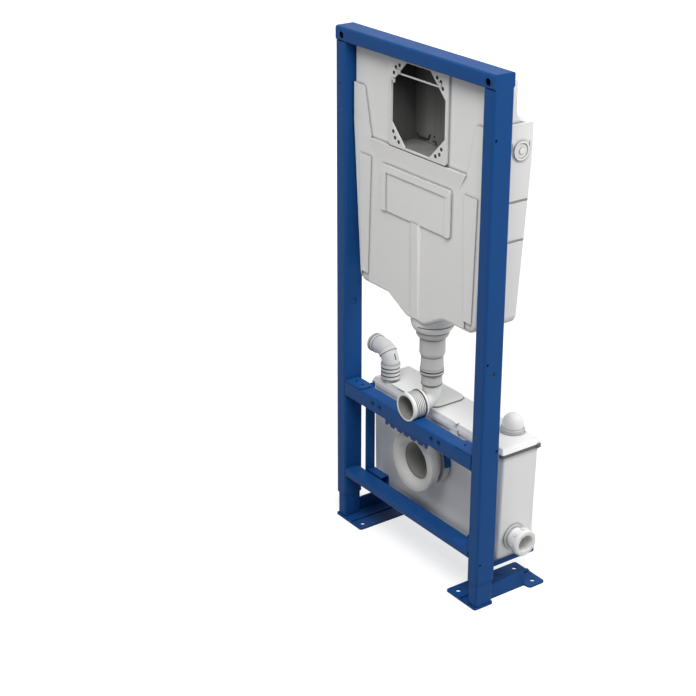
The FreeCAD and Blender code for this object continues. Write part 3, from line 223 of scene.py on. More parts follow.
def activate(piece):
    """Select one piece alone and make it the active one."""
    bpy.ops.object.select_all(action="DESELECT")
    piece.select_set(True)
    bpy.context.view_layer.objects.active = piece


def settle(name):
    """Name the new piece and put its place and size into its mesh."""
    piece = bpy.context.object
    piece.name = name
    piece.data.name = name
    bpy.ops.object.transform_apply(location=True, rotation=True, scale=True)
    return piece


def block(name, low, high):
    """Start a piece from a box between two corners."""
    low, high = Vector(low), Vector(high)
    bpy.ops.object.select_all(action="DESELECT")
    bpy.ops.mesh.primitive_cube_add(size=1, location=(low + high) / 2, scale=high - low)
    return settle(name)


def rod(name, centre, axis, radius, length, sides=32):
    """Start a piece from a cylinder about its centre."""
    bpy.ops.object.select_all(action="DESELECT")
    bpy.ops.mesh.primitive_cylinder_add(
        vertices=sides, radius=radius, depth=length, location=centre, rotation=TURN[axis])
    return settle(name)


def ring(name, centre, axis, radius, thickness):
    """Start a piece from a round ring about its centre."""
    bpy.ops.object.select_all(action="DESELECT")
    bpy.ops.mesh.primitive_torus_add(
        major_radius=radius, minor_radius=thickness, major_segments=64, minor_segments=10,
        location=centre, rotation=TURN[axis])
    return settle(name)


def edit(piece):
    """Go into edit mode on one piece."""
    activate(piece)
    bpy.ops.object.mode_set(mode="EDIT")


def leave():
    """Go back to object mode."""
    bpy.ops.object.mode_set(mode="OBJECT")


def middle(item):
    """Middle of a vertex, an edge or a face."""
    if hasattr(item, "co"):
        return item.co
    return sum((vertex.co for vertex in item.verts), Vector()) / len(item.verts)


def pick(piece, kind, wanted):
    """Select the verts, edges or faces of a piece in edit mode that are wanted."""
    bpy.context.tool_settings.mesh_select_mode = [kind == each for each in ("verts", "edges", "faces")]
    bpy.ops.mesh.select_all(action="DESELECT")
    mesh = bmesh.from_edit_mesh(piece.data)
    for item in getattr(mesh, kind):
        if wanted(item, middle(item)):
            item.select_set(True)
    mesh.select_flush_mode()
    bmesh.update_edit_mesh(piece.data)


def cut(place, normal, **clear):
    """Cut the piece in edit mode along a plane."""
    bpy.ops.mesh.select_all(action="SELECT")
    bpy.ops.mesh.bisect(plane_co=place, plane_no=normal, **clear)


def draw_out(shift):
    """Extrude what is selected."""
    bpy.ops.mesh.extrude_region_move(TRANSFORM_OT_translate={"value": shift})


def soften(piece, offset):
    """Bevel every edge of a piece that is sharp."""
    edit(piece)
    pick(piece, "edges", lambda edge, _: edge.calc_face_angle(0) > SHARP_ANGLE)
    bpy.ops.mesh.bevel(offset=offset, segments=2, affect="EDGES")
    leave()


def copy_piece(piece, name, shift):
    """A copy with its own mesh, moved."""
    activate(piece)
    bpy.ops.object.duplicate(linked=False)
    bpy.ops.transform.translate(value=shift)
    return settle(name)


def dress(piece, material):
    """Give a finished piece its material and let it ride on the frame."""
    piece.data.materials.clear()
    piece.data.materials.append(bpy.data.materials[material])
    activate(piece)
    bpy.ops.object.shade_smooth_by_angle(angle=SMOOTH_ANGLE)
    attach(piece, "root")


def dress_pair(right, left_name, spacing, material):
    """Copy a finished piece to the left and dress both."""
    left = copy_piece(right, left_name, (-spacing, 0, 0))
    dress(right, material)
    dress(left, material)


def bush(name, centre, axis, radius, bore, length):
    """A threaded bush: a tube with rounded rims."""
    piece = rod(name, centre, axis, radius, length)
    edit(piece)
    pick(piece, "faces", lambda side, _: len(side.verts) > 4)
    bpy.ops.mesh.inset(thickness=radius - bore)
    bpy.ops.mesh.bridge_edge_loops()
    leave()
    soften(piece, BUSH_ROUNDING)
    return piece


def plug(name, centre, radius, length, rim, sink, rounding):
    """A round plug across the frame with a dish in each end."""
    piece = rod(name, centre, "x", radius, length)
    edit(piece)
    pick(piece, "faces", lambda side, _: abs(side.normal.x) > 0.9)
    bpy.ops.mesh.inset(thickness=rim, depth=-sink)
    leave()
    soften(piece, rounding)
    return piece


def weld(name, start, end, radius, pitch):
    """A rippled bead of weld along the depth between two points."""
    waist, tip = 0.78, 0.5
    start, end = Vector(start), Vector(end)
    centre = (start + end) / 2
    length = (end - start).length
    bead = rod(name, centre, "y", radius, length, sides=12)
    edit(bead)
    pick(bead, "edges", lambda edge, _: abs(edge.verts[0].co.y - edge.verts[1].co.y) > length / 2)
    cuts = 2 * round(length / pitch / 2)
    bpy.ops.mesh.subdivide(number_cuts=cuts)
    step = length / (cuts + 1)
    pick(bead, "verts", lambda _, at: round((at.y - start.y) / step) % 2 == 0)
    bpy.ops.transform.resize(value=(waist, 1, waist), center_override=centre)
    pick(bead, "verts", lambda _, at: abs(at.y - centre.y) > length / 2 - step / 4)
    bpy.ops.transform.resize(value=(tip, 1, tip), center_override=centre)
    leave()
    dress(bead, "blue_powder_coat")


def turned(name, centre, axis, profile, hollow=False):
    """A turned piece, drawn from a disc or a hoop along its axis through steps of place and radius."""
    along = Vector([float(axis == each) for each in "xyz"])
    across = centre - along * centre.dot(along)
    start, width = profile[0]
    bpy.ops.object.select_all(action="DESELECT")
    bpy.ops.mesh.primitive_circle_add(
        vertices=72, radius=width, fill_type="NOTHING" if hollow else "NGON",
        location=across + along * start, rotation=TURN[axis])
    piece = settle(name)
    edit(piece)
    pick(piece, "verts", lambda *_: True)
    for (here, wide), (there, next_wide) in zip(profile, profile[1:]):
        draw_out(along * (there - here))
        grow = next_wide / wide
        bpy.ops.transform.resize(value=[1 if part else grow for part in along],
                                 center_override=across + along * there)
    if hollow:
        pick(piece, "edges", lambda edge, _: edge.is_boundary)
        bpy.ops.mesh.bridge_edge_loops()
    bpy.ops.mesh.select_all(action="SELECT")
    bpy.ops.mesh.normals_make_consistent(inside=False)
    leave()
    return piece


def swept(radius):
    """Turn the edges of the active piece into a round bar."""
    bpy.ops.object.convert(target="CURVE")
    bar = bpy.context.object.data
    bar.bevel_depth = radius
    bar.bevel_resolution = 1
    bar.use_fill_caps = True
    bpy.ops.object.convert(target="MESH")
    return bpy.context.object


def wire(name, points, radius):
    """A round bar through a row of points."""
    points = [Vector(point) for point in points]
    bpy.ops.object.select_all(action="DESELECT")
    bpy.ops.mesh.primitive_circle_add(vertices=3, radius=radius, location=points[0])
    piece = settle(name)
    edit(piece)
    pick(piece, "verts", lambda *_: True)
    bpy.ops.mesh.merge(type="CENTER")
    for here, there in zip(points, points[1:]):
        bpy.ops.mesh.extrude_vertices_move(TRANSFORM_OT_translate={"value": there - here})
    leave()
    return swept(radius)


def edit_copy(name, node):
    """A merged copy of a solid, in edit mode with everything selected."""
    activate(frame["nodes"][node])
    bpy.ops.object.duplicate(linked=False)
    piece = bpy.context.object
    piece.name = name
    edit(piece)
    bpy.ops.mesh.select_all(action="SELECT")
    bpy.ops.mesh.remove_doubles(threshold=0.00001)
    bpy.ops.mesh.select_all(action="SELECT")
    return piece


def outline_bead(name, node, place, normal, wanted, radius):
    """A bead along the outline that a plane cuts from a solid, where it is wanted."""
    bead = edit_copy(name, node)
    cut(place, normal, clear_inner=True, clear_outer=True)
    pick(bead, "verts", lambda _, at: not wanted(at))
    bpy.ops.mesh.delete(type="VERT")
    leave()
    return swept(radius)


def new_group(name, inputs, outputs):
    """An empty shader node group with its sockets."""
    group = bpy.data.node_groups.new(name, "ShaderNodeTree")
    for socket, kind in inputs:
        group.interface.new_socket(socket, in_out="INPUT", socket_type=kind)
    for socket, kind in outputs:
        group.interface.new_socket(socket, in_out="OUTPUT", socket_type=kind)
    return group, group.nodes.new("NodeGroupInput"), group.nodes.new("NodeGroupOutput")


def add_group(tree, name, **values):
    """A node that uses a node group, with values on its sockets."""
    node = tree.nodes.new("ShaderNodeGroup")
    node.node_tree = bpy.data.node_groups[name]
    for socket, value in values.items():
        node.inputs[socket].default_value = value
    return node


def add_math(tree, operation, first, second, third=None):
    """A math node fed by sockets or plain numbers; gives its result."""
    node = tree.nodes.new("ShaderNodeMath")
    node.operation = operation
    for socket, source in zip(node.inputs, (first, second, third)):
        if isinstance(source, bpy.types.NodeSocket):
            tree.links.new(source, socket)
        elif source is not None:
            socket.default_value = source
    return node.outputs["Value"]


def add_range(tree, value, start, end, low, high):
    """A value brought from one range into another and held at its ends; gives the result."""
    node = tree.nodes.new("ShaderNodeMapRange")
    for socket, number in zip(("From Min", "From Max", "To Min", "To Max"), (start, end, low, high)):
        node.inputs[socket].default_value = number
    tree.links.new(value, node.inputs["Value"])
    return node.outputs["Result"]


def add_tint(tree, colour, value):
    """A colour made lighter or darker by a value; gives the new colour."""
    node = tree.nodes.new("ShaderNodeHueSaturation")
    tree.links.new(colour, node.inputs["Color"])
    tree.links.new(value, node.inputs["Value"])
    return node.outputs["Color"]


def add_place(tree, kind="Object"):
    """Coordinates of the surface."""
    return tree.nodes.new("ShaderNodeTexCoord").outputs[kind]


def add_noise(tree, scale, detail, stretch=None):
    """Noise on the object's own coordinates, stretched if asked; gives its value."""
    place = add_place(tree)
    if stretch:
        mapping = tree.nodes.new("ShaderNodeMapping")
        mapping.inputs["Scale"].default_value = stretch
        tree.links.new(place, mapping.inputs["Vector"])
        place = mapping.outputs["Vector"]
    noise = tree.nodes.new("ShaderNodeTexNoise")
    noise.inputs["Detail"].default_value = detail
    tree.links.new(place, noise.inputs["Vector"])
    if isinstance(scale, bpy.types.NodeSocket):
        tree.links.new(scale, noise.inputs["Scale"])
    else:
        noise.inputs["Scale"].default_value = scale
    return noise.outputs["Fac"]


def tone_drift_group():
    """Slow change of tone over a moulded or coated surface."""
    group, given, result = new_group(
        "tone_drift",
        (("Colour", "NodeSocketColor"), ("Scale", "NodeSocketFloat"), ("Amount", "NodeSocketFloat")),
        (("Colour", "NodeSocketColor"), ("Mask", "NodeSocketFloat")))
    cloud = add_noise(group, given.outputs["Scale"], 4)
    swing = add_math(group, "MULTIPLY_ADD", cloud, 2.0, -1.0)
    shift = add_math(group, "MULTIPLY_ADD", swing, given.outputs["Amount"], 1.0)
    group.links.new(add_tint(group, given.outputs["Colour"], shift), result.inputs["Colour"])
    group.links.new(cloud, result.inputs["Mask"])


def surface_grain_group():
    """Fine relief: a moulded grain, or the orange peel of a powder coat."""
    coarseness, coarse_share = 0.18, 0.6
    group, given, result = new_group(
        "surface_grain",
        (("Scale", "NodeSocketFloat"), ("Depth", "NodeSocketFloat")), (("Height", "NodeSocketFloat"),))
    fine = add_noise(group, given.outputs["Scale"], 2)
    coarse = add_noise(group, add_math(group, "MULTIPLY", given.outputs["Scale"], coarseness), 3)
    both = add_math(group, "MULTIPLY_ADD", coarse, coarse_share, fine)
    group.links.new(add_math(group, "MULTIPLY", both, given.outputs["Depth"]), result.inputs["Height"])


def crevice_shade_group():
    """Painted shade that darkens a colour where two surfaces meet."""
    darkest = 0.12
    group, given, result = new_group(
        "crevice_shade",
        (("Colour", "NodeSocketColor"), ("Reach", "NodeSocketFloat"), ("Amount", "NodeSocketFloat")),
        (("Colour", "NodeSocketColor"),))
    # Painted shade: ambient occlusion darkens the colour in corners and crevices, down to the darkest
    # share.
    corner = group.nodes.new("ShaderNodeAmbientOcclusion")
    corner.samples = 8
    group.links.new(given.outputs["Reach"], corner.inputs["Distance"])
    closed = add_math(group, "SUBTRACT", 1.0, corner.outputs["AO"])
    loss = add_math(group, "MULTIPLY", closed, given.outputs["Amount"])
    kept = add_math(group, "MAXIMUM", add_math(group, "SUBTRACT", 1.0, loss), darkest)
    group.links.new(add_tint(group, given.outputs["Colour"], kept), result.inputs["Colour"])


def grained_material(name, colour, roughness, drift, grain, shine=0.3, crevice=(0.007, 1.3)):
    """A finish whose colour and roughness drift, with a fine relief and painted shade in its crevices.

    drift is the scale and amount of the drift, grain the scale and depth of the relief, and crevice the
    reach and amount of the painted shade.
    """
    roughness_swing = 0.08
    material = bpy.data.materials.new(name)
    material.use_nodes = True
    tree = material.node_tree
    shader = tree.nodes["Principled BSDF"]
    shader.inputs["Specular IOR Level"].default_value = shine
    tone = add_group(tree, "tone_drift", Colour=(*colour, 1), Scale=drift[0], Amount=drift[1])
    # Painted shade in the crevices of the finish.
    shade = add_group(tree, "crevice_shade", Reach=crevice[0], Amount=crevice[1])
    tree.links.new(tone.outputs["Colour"], shade.inputs["Colour"])
    tree.links.new(shade.outputs["Colour"], shader.inputs["Base Color"])
    spread = add_range(tree, tone.outputs["Mask"], 0, 1, roughness - roughness_swing,
                       roughness + roughness_swing)
    tree.links.new(spread, shader.inputs["Roughness"])
    relief = add_group(tree, "surface_grain", Scale=grain[0], Depth=grain[1])
    bump = tree.nodes.new("ShaderNodeBump")
    bump.inputs["Strength"].default_value = 0.5
    bump.inputs["Distance"].default_value = 0.0004
    tree.links.new(relief.outputs["Height"], bump.inputs["Height"])
    tree.links.new(bump.outputs["Normal"], shader.inputs["Normal"])
    return material


def shade_opening(material, low, high):
    """Darken a material towards the top and the left wall of a deep opening, with upright streaks."""
    top_shade, left_shade = 0.1, 0.42
    left_wall, left_end = -0.084, -0.045
    tree = material.node_tree
    shader = tree.nodes["Principled BSDF"]
    colour = shader.inputs["Base Color"].links[0].from_socket
    split = tree.nodes.new("ShaderNodeSeparateXYZ")
    tree.links.new(add_place(tree), split.inputs["Vector"])
    climb = add_range(tree, split.outputs["Z"], low, high, 1, top_shade)
    across = add_range(tree, split.outputs["X"], left_wall, left_end, left_shade, 1)
    bands = add_noise(tree, 60, 1, stretch=(1, 1, 0.02))
    streak = add_math(tree, "MULTIPLY", add_math(tree, "MULTIPLY_ADD", bands, 0.5, 0.75), across)
    tinted = add_tint(tree, colour, add_math(tree, "MULTIPLY", climb, streak))
    tree.links.new(tinted, shader.inputs["Base Color"])


class TOILETFRAME_OT_finish_solids(bpy.types.Operator):
    """Make the finishes and give every solid of the frame its own"""
    bl_idname = "toiletframe.finish_solids"
    bl_label = "Finish Solids"

    def execute(self, context):
        colours = context.scene.frame_colours
        tone_drift_group()
        surface_grain_group()
        crevice_shade_group()
        finish = {
            "blue_steel": grained_material(
                "blue_powder_coat", colours.blue, roughness=0.46, drift=(9, 0.05), grain=(900, 0.5),
                shine=0.1, crevice=(0.006, 0.7)),
            "cistern_plastic": grained_material(
                "cistern_shell", colours.cistern, roughness=0.6, drift=(7, 0.03), grain=(1400, 0.35),
                shine=0.25),
            "fitting_plastic": grained_material(
                "moulded_fitting", colours.fitting, roughness=0.52, drift=(14, 0.03), grain=(1600, 0.3)),
            "pump_plastic": grained_material(
                "pump_housing", colours.pump, roughness=0.45, drift=(8, 0.02), grain=(1200, 0.3),
                shine=0.35),
            "pipe_plastic": grained_material(
                "grey_pipe", colours.pipe, roughness=0.5, drift=(16, 0.05), grain=(1500, 0.3)),
            "shaft_plastic": grained_material(
                "dark_shaft", colours.shaft, roughness=0.62, drift=(20, 0.08), grain=(1000, 0.3),
                crevice=(0.004, 0.4)),
        }
        # Painted shade: a darker copy of the fitting plastic for the waste collar and pipe.
        waste = grained_material(
            "waste_socket", colours.waste, roughness=0.5, drift=(14, 0.03), grain=(1600, 0.3))
        black = [share / 5 for share in colours.rubber]
        for name, colour in (("seal_rubber", colours.rubber), ("black_rubber", black)):
            grained_material(name, colour, roughness=0.7, drift=(30, 0.1), grain=(2200, 0.4))
        grained_material(
            "socket_liner", colours.liner, roughness=0.6, drift=(25, 0.06), grain=(1800, 0.3))
        low, high = corners("service_shaft")
        lit_height = 0.03
        shade_opening(finish["shaft_plastic"], low.z + lit_height, high.z)
        for name, node in frame["nodes"].items():
            node.data.materials.clear()
            node.data.materials.append(waste if name in SHADED_WASTE_NODES else finish[NODE_SLOT[name]])
        return {"FINISHED"}


class TOILETFRAME_OT_bolt_bushes(bpy.types.Operator):
    """Set bushes into the pan bolt holes, and bushes and plugs into the uprights' side holes"""
    bl_idname = "toiletframe.bolt_bushes"
    bl_label = "Bolt Bushes"

    def execute(self, context):
        details = context.scene.frame_details
        play, side_hole_height = 0.0002, 0.533
        bush_depth, plug_depth = 0.006, 0.0017
        low, high = corners("upper_cross_bar")
        length = high.y - low.y - 2 * details.bush_setback
        for name in ("pan_bolts_180", "pan_bolts_230"):
            mount = MOUNTS[name]
            spacing = mount["dims"]["spacing_x_mm"] / 1000
            radius = mount["dims"]["hole_r_mm"] / 1000 - play
            place = Vector((spacing / 2, (low.y + high.y) / 2, mount["pos_m"][2]))
            right = bush(f"{name}_bush_right", place, "y", radius, details.bush_bore, length)
            dress_pair(right, f"{name}_bush_left", spacing, "blue_powder_coat")
        low, high = corners("right_upright")
        place = Vector((low.x + bush_depth, (low.y + high.y) / 2, side_hole_height))
        right = plug("side_bush_right", place, radius=0.0063, length=0.0108,
                     rim=0.0018, sink=0.0008, rounding=0.0007)
        dress_pair(right, "side_bush_left", 2 * place.x, "blue_powder_coat")
        place.x = high.x - plug_depth
        right = plug("side_plug_right", place, radius=0.0039, length=0.0022,
                     rim=0.0011, sink=0.0006, rounding=0.0003)
        dress_pair(right, "side_plug_left", 2 * place.x, "black_rubber")
        return {"FINISHED"}


class TOILETFRAME_OT_weld_beads(bpy.types.Operator):
    """Lay the weld beads where the bars meet the uprights"""
    bl_idname = "toiletframe.weld_beads"
    bl_label = "Weld Beads"

    def execute(self, context):
        details = context.scene.frame_details
        front_gap, back_gap = 0.005, 0.004
        sink = details.weld_radius / 2
        for bar, edges in (("upper_cross_bar", ("under",)), ("lower_cross_bar", ("under", "over"))):
            low, high = corners(bar)
            height = {"under": low.z, "over": high.z}
            for side, x in (("left", low.x + sink), ("right", high.x - sink)):
                for edge in edges:
                    weld(f"{bar}_weld_{side}_{edge}", (x, low.y + front_gap, height[edge]),
                         (x, high.y - back_gap, height[edge]), details.weld_radius, details.weld_pitch)
        return {"FINISHED"}


class TOILETFRAME_OT_lid_seal(bpy.types.Operator):
    """Wrap the seals round the ends of the pump's lid and add its corner catch"""
    bl_idname = "toiletframe.lid_seal"
    bl_label = "Lid Seal"

    def execute(self, context):
        details = context.scene.frame_details
        low, high = corners("pump_lid")
        proud = Vector((details.seal_proud, details.seal_proud, 0))
        bottom, top = low.z + 0.0016, low.z + 0.0086
        corner_radius, end_length = 0.0046, 0.011
        groove_cuts, groove_middle, groove_depth = (0.42, 0.48, 0.56, 0.62), 0.52, 0.0005
        band = block("lid_seal", Vector((low.x, low.y, bottom)) - proud,
                     Vector((high.x, high.y, top)) + proud)
        edit(band)
        pick(band, "faces", lambda side, _: abs(side.normal.z) > 0.5)
        bpy.ops.mesh.delete(type="ONLY_FACE")
        pick(band, "edges", lambda edge, _: abs(edge.verts[0].co.z - edge.verts[1].co.z) > 0.001)
        bpy.ops.mesh.bevel(offset=corner_radius, segments=5, affect="EDGES")
        for share in groove_cuts:
            cut((0, 0, bottom + share * (top - bottom)), (0, 0, 1))
        end = high.x - end_length
        for x in (-end, end):
            cut((x, 0, 0), (1, 0, 0))
        pick(band, "faces", lambda _, at: abs(at.x) < end)
        bpy.ops.mesh.delete(type="FACE")
        waist = bottom + groove_middle * (top - bottom)
        pick(band, "verts", lambda _, at: abs(at.z - waist) < 0.05 * (top - bottom))
        bpy.ops.transform.shrink_fatten(value=-groove_depth)
        leave()
        wall = band.modifiers.new("wall", "SOLIDIFY")
        wall.thickness = 0.0011
        wall.offset = -1
        bpy.ops.object.modifier_apply(modifier="wall")
        dress(band, "seal_rubber")
        catch = block("lid_corner_catch", (high.x, high.y - 0.012, low.z + 0.001),
                      (high.x + 0.0025, high.y - 0.003, low.z + 0.0105))
        soften(catch, 0.0006)
        dress(catch, "seal_rubber")
        return {"FINISHED"}


class TOILETFRAME_OT_union_lugs(bpy.types.Operator):
    """Set the grip lugs round the side union"""
    bl_idname = "toiletframe.union_lugs"
    bl_label = "Union Lugs"

    def execute(self, context):
        details = context.scene.frame_details
        half_width, root, back_gap, front_gap = 0.0024, 0.002, 0.003, 0.0085
        low, high = corners("inlet_nut")
        centre = (low + high) / 2
        radius = (high.z - low.z) / 2
        lugs = block("union_lugs", (low.x + back_gap, centre.y - half_width, centre.z + radius - root),
                     (high.x - front_gap, centre.y + half_width, centre.z + radius + details.lug_height))
        soften(lugs, 0.0006)
        edit(lugs)
        bpy.ops.mesh.select_all(action="SELECT")
        steps = details.lug_count - 1
        bpy.ops.mesh.spin(steps=steps, dupli=True, angle=2 * math.pi * steps / details.lug_count,
                          center=centre, axis=(1, 0, 0))
        bpy.ops.mesh.select_all(action="SELECT")
        bpy.ops.mesh.normals_make_consistent(inside=False)
        leave()
        dress(lugs, "moulded_fitting")
        return {"FINISHED"}


class TOILETFRAME_OT_flush_joints(bpy.types.Operator):
    """Turn the boss under the sump, the flush pipe's nut and its upper sleeve"""
    bl_idname = "toiletframe.flush_joints"
    bl_label = "Flush Joints"

    def execute(self, context):
        boss_sink = 0.020
        axis = centre_of("upper_sleeve")
        sleeve = turned("flush_upper_sleeve", axis, "z", SLEEVE_PROFILE)
        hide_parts("upper_sleeve")
        nut = turned("flush_outlet_nut", axis, "z", NUT_PROFILE)
        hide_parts("outlet_nut")
        in_sump = corners("sump_boss")[1].z + boss_sink
        boss = turned("sump_outlet_boss", axis, "z", (*BOSS_PROFILE, (in_sump, BOSS_PROFILE[-1][1])))
        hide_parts("sump_boss")
        dress(sleeve, "grey_pipe")
        dress(nut, "grey_pipe")
        dress(boss, "cistern_shell")
        return {"FINISHED"}


class TOILETFRAME_OT_shadow_rings(bpy.types.Operator):
    """Put dark rings at the joints of the pipes and a dark line along the crease round the boss under the
    sump: painted shadow lines
    """
    bl_idname = "toiletframe.joint_rings"
    bl_label = "Joint Rings"

    def execute(self, context):
        thickness = context.scene.frame_details.ring_radius
        crease_radius, crease_height = 0.0466, 0.5495
        coupling_radius, spigot_radius, elbow_radius = 0.0200, 0.0300, 0.0194
        spigot_depth, elbow_shift, elbow_height = -0.0592, 0.0085, 0.4000
        flush = centre_of("lower_sleeve")
        spigot = centre_of("flush_spigot")
        coupling = centre_of("discharge_coupling")
        # Painted shadow lines: dark rings at the steps and joints of the flush pipe, the coupling, the
        # spigot and the elbow.
        joints = [(f"flush_ring_{round(z * 1000)}", (flush.x, flush.y, z), "z", radius)
                  for z, radius in FLUSH_SHADOW_RINGS]
        joints += [(f"coupling_ring_{round(z * 1000)}", (coupling.x, coupling.y, z), "z", coupling_radius)
                   for z in COUPLING_SHADOW_RINGS]
        joints.append(("spigot_ring", (spigot.x, spigot_depth, spigot.z), "y", spigot_radius))
        joints.append(("elbow_ring", (coupling.x - elbow_shift, coupling.y, elbow_height), "bend",
                       elbow_radius))
        for name, place, axis, radius in joints:
            centre = Vector(place)
            piece = ring(name, centre, axis, radius, thickness)
            edit(piece)
            pick(piece, "verts", lambda _, at: (at - centre).length > radius + thickness / 2)
            bpy.ops.transform.shrink_fatten(value=-thickness / 4)
            leave()
            dress(piece, "seal_rubber")
        # Painted shadow: a dark line along the crease under the sump's bulge.
        turns = [math.radians(degrees) for degrees in range(-80, 61, 10)]
        arc = [(flush.x + crease_radius * math.cos(turn), flush.y + crease_radius * math.sin(turn),
                crease_height) for turn in turns]
        dress(wire("sump_crease", arc, thickness), "seal_rubber")
        return {"FINISHED"}


class TOILETFRAME_OT_socket_liners(bpy.types.Operator):
    """Line the waste and flush sockets and turn the bell of the waste collar"""
    bl_idname = "toiletframe.socket_liners"
    bl_label = "Socket Liners"

    def execute(self, context):
        play, end_gap = 0.0001, 0.002
        for name, socket, bore in (("waste_liner", "waste_socket", 0.0385),
                                   ("flush_liner", "flush_socket", 0.0246)):
            mount = MOUNTS[socket]
            radius = mount["dims"]["r_mm"] / 1000 - play
            length = mount["dims"]["length_mm"] / 1000 - end_gap
            liner = bush(name, Vector(mount["pos_m"]), "y", radius, bore, length)
            dress(liner, "socket_liner")
        mouth = corners("waste_collar")[0].y
        bell = turned("waste_bell", centre_of("waste_collar"), "y",
                      [(mouth + depth, radius) for depth, radius in BELL_PROFILE], hollow=True)
        # Painted shade: the bell takes the same darker copy of the fitting plastic as the collar.
        dress(bell, "waste_socket")
        return {"FINISHED"}


class TOILETFRAME_OT_tray_fold(bpy.types.Operator):
    """Fold the tray's front low between its two ears and trim the right hanger arm to its ear"""
    bl_idname = "toiletframe.tray_fold"
    bl_label = "Tray Fold"

    def execute(self, context):
        left, right, slope = -0.130, 0.150, 0.003
        fold_drop, arm_trim = 0.034, 0.042
        tray = edit_copy("tray_with_ears", "pump_tray")
        bpy.ops.mesh.dissolve_limited(angle_limit=math.radians(1))
        for x in (left - slope, left, right, right + slope):
            cut((x, 0, 0), (1, 0, 0))
        top = corners("pump_tray")[1].z
        pick(tray, "verts",
             lambda _, at: at.z > top - 0.001 and left - slope / 2 < at.x < right + slope / 2)
        bpy.ops.transform.translate(value=(0, 0, -fold_drop))
        leave()
        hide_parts("pump_tray")
        arm = edit_copy("right_hanger_stub", "right_hanger_arm")
        halfway = centre_of("right_hanger_arm").x
        pick(arm, "verts", lambda _, at: at.x < halfway)
        bpy.ops.transform.translate(value=(arm_trim, 0, 0))
        leave()
        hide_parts("right_hanger_arm")
        for piece in (tray, arm):
            soften(piece, 0.0003)
            dress(piece, "blue_powder_coat")
        return {"FINISHED"}


class TOILETFRAME_OT_cistern_seam(bpy.types.Operator):
    """Run the moulding seam round the cistern and the rims under its inlets"""
    bl_idname = "toiletframe.cistern_seam"
    bl_label = "Cistern Seam"

    def execute(self, context):
        details = context.scene.frame_details
        inner, rim_gap, rim_setback, rim_rise = 0.05, 0.0024, 0.0028, 0.016
        low, high = corners("cistern_back")
        seam = outline_bead("cistern_seam", "cistern_back", (0, low.y + 0.0004, 0), (0, 1, 0),
                            lambda at: abs(at.x) > inner or at.z < low.z + inner or at.z > high.z - 0.004,
                            details.seam_radius)
        dress(seam, "cistern_shell")
        low, high = corners("right_inlet_boss")
        centre = (low + high) / 2
        reach = (high.y - low.y) / 2 + rim_gap
        face = high.x - rim_setback
        arc = [Vector((face, centre.y - reach * math.cos(turn), centre.z - reach * math.sin(turn)))
               for turn in (math.pi * step / 18 for step in range(19))]
        rise = Vector((0, 0, rim_rise))
        right = wire("inlet_rim_right", [arc[0] + rise, *arc, arc[-1] + rise], details.rim_radius)
        dress_pair(right, "inlet_rim_left", 2 * face, "cistern_shell")
        return {"FINISHED"}


class TOILETFRAME_OT_cover_shadow_and_hooks(bpy.types.Operator):
    """Lay a dark bead in the joint round the lid's cover as a painted shadow line, and set the hooks over
    the lid's front edge
    """
    bl_idname = "toiletframe.lid_joints"
    bl_label = "Lid Joints"

    def execute(self, context):
        details = context.scene.frame_details
        end_gap, hook_place, hook_half_width = 0.002, 0.070, 0.004
        low, high = corners("lid_cover")
        # Painted shadow: a dark bead along the cover's outline for the shade in its joint.
        joint = outline_bead("cover_joint", "lid_cover", (0, 0, low.z + 0.0006), (0, 0, 1),
                             lambda at: at.x > low.x + end_gap and at.y < high.y - end_gap,
                             details.cover_shadow_radius)
        dress(joint, "seal_rubber")
        low, high = corners("pump_lid")
        right = block("lid_hook_front_right",
                      (hook_place - hook_half_width, low.y + 0.0012, high.z - 0.0012),
                      (hook_place + hook_half_width, low.y + 0.009, high.z + 0.0018))
        edit(right)
        pick(right, "faces", lambda side, _: side.normal.y < -0.5)
        draw_out((0, -0.001, -0.004))
        leave()
        soften(right, 0.0007)
        dress_pair(right, "lid_hook_front_left", 2 * hook_place, "pump_housing")
        return {"FINISHED"}


class TOILETFRAME_OT_opening_fittings(bpy.types.Operator):
    """Fit the grommets and tabs of the service opening and the wire hook, clip and peg in its shaft"""
    bl_idname = "toiletframe.opening_fittings"
    bl_label = "Opening Fittings"

    def execute(self, context):
        details = context.scene.frame_details
        grommet_bore, grommet_length, tab_reach = 0.0022, 0.0024, 0.004
        wire_gap, clip_share = 0.0042, 0.7
        face = corners("corner_gussets")[0].y - 0.0002
        centre = centre_of("corner_gussets")
        origin = Vector((centre.x, face + grommet_length / 2, centre.z))
        model = bush("gusset_grommet", origin, "y", details.grommet_radius, grommet_bore, grommet_length)
        for across, up in GROMMET_SPOTS:
            for corner, (way_x, way_z) in GROMMET_CORNERS.items():
                grommet = copy_piece(model, f"gusset_grommet_{round(across * 1000)}_{corner}",
                                     (way_x * across, 0, way_z * up))
                dress(grommet, "black_rubber")
        bpy.data.objects.remove(model)
        for name, (x, z) in GUSSET_TABS.items():
            tab = block(name, (x - tab_reach, face - 0.0025, z - 0.0015),
                        (x + tab_reach, face + 0.002, z + 0.0015))
            edit(tab)
            pick(tab, "faces", lambda side, _: side.normal.x > 0.9)
            draw_out((0.0025, 0, 0))
            pick(tab, "faces", lambda side, at: side.normal.z < -0.9 and at.x > x + tab_reach)
            draw_out((0, 0, -0.005))
            leave()
            soften(tab, 0.0004)
            dress(tab, "moulded_fitting")
        wall = corners("service_shaft")[1].y - wire_gap
        for name, path, share in (("shaft_hook", HOOK_PATH, 1), ("shaft_clip", CLIP_PATH, clip_share),
                                  ("shaft_peg", PEG_PATH, clip_share)):
            bar = wire(name, [(x, wall, z) for x, z in path], details.hook_radius * share)
            dress(bar, "black_rubber")
        return {"FINISHED"}


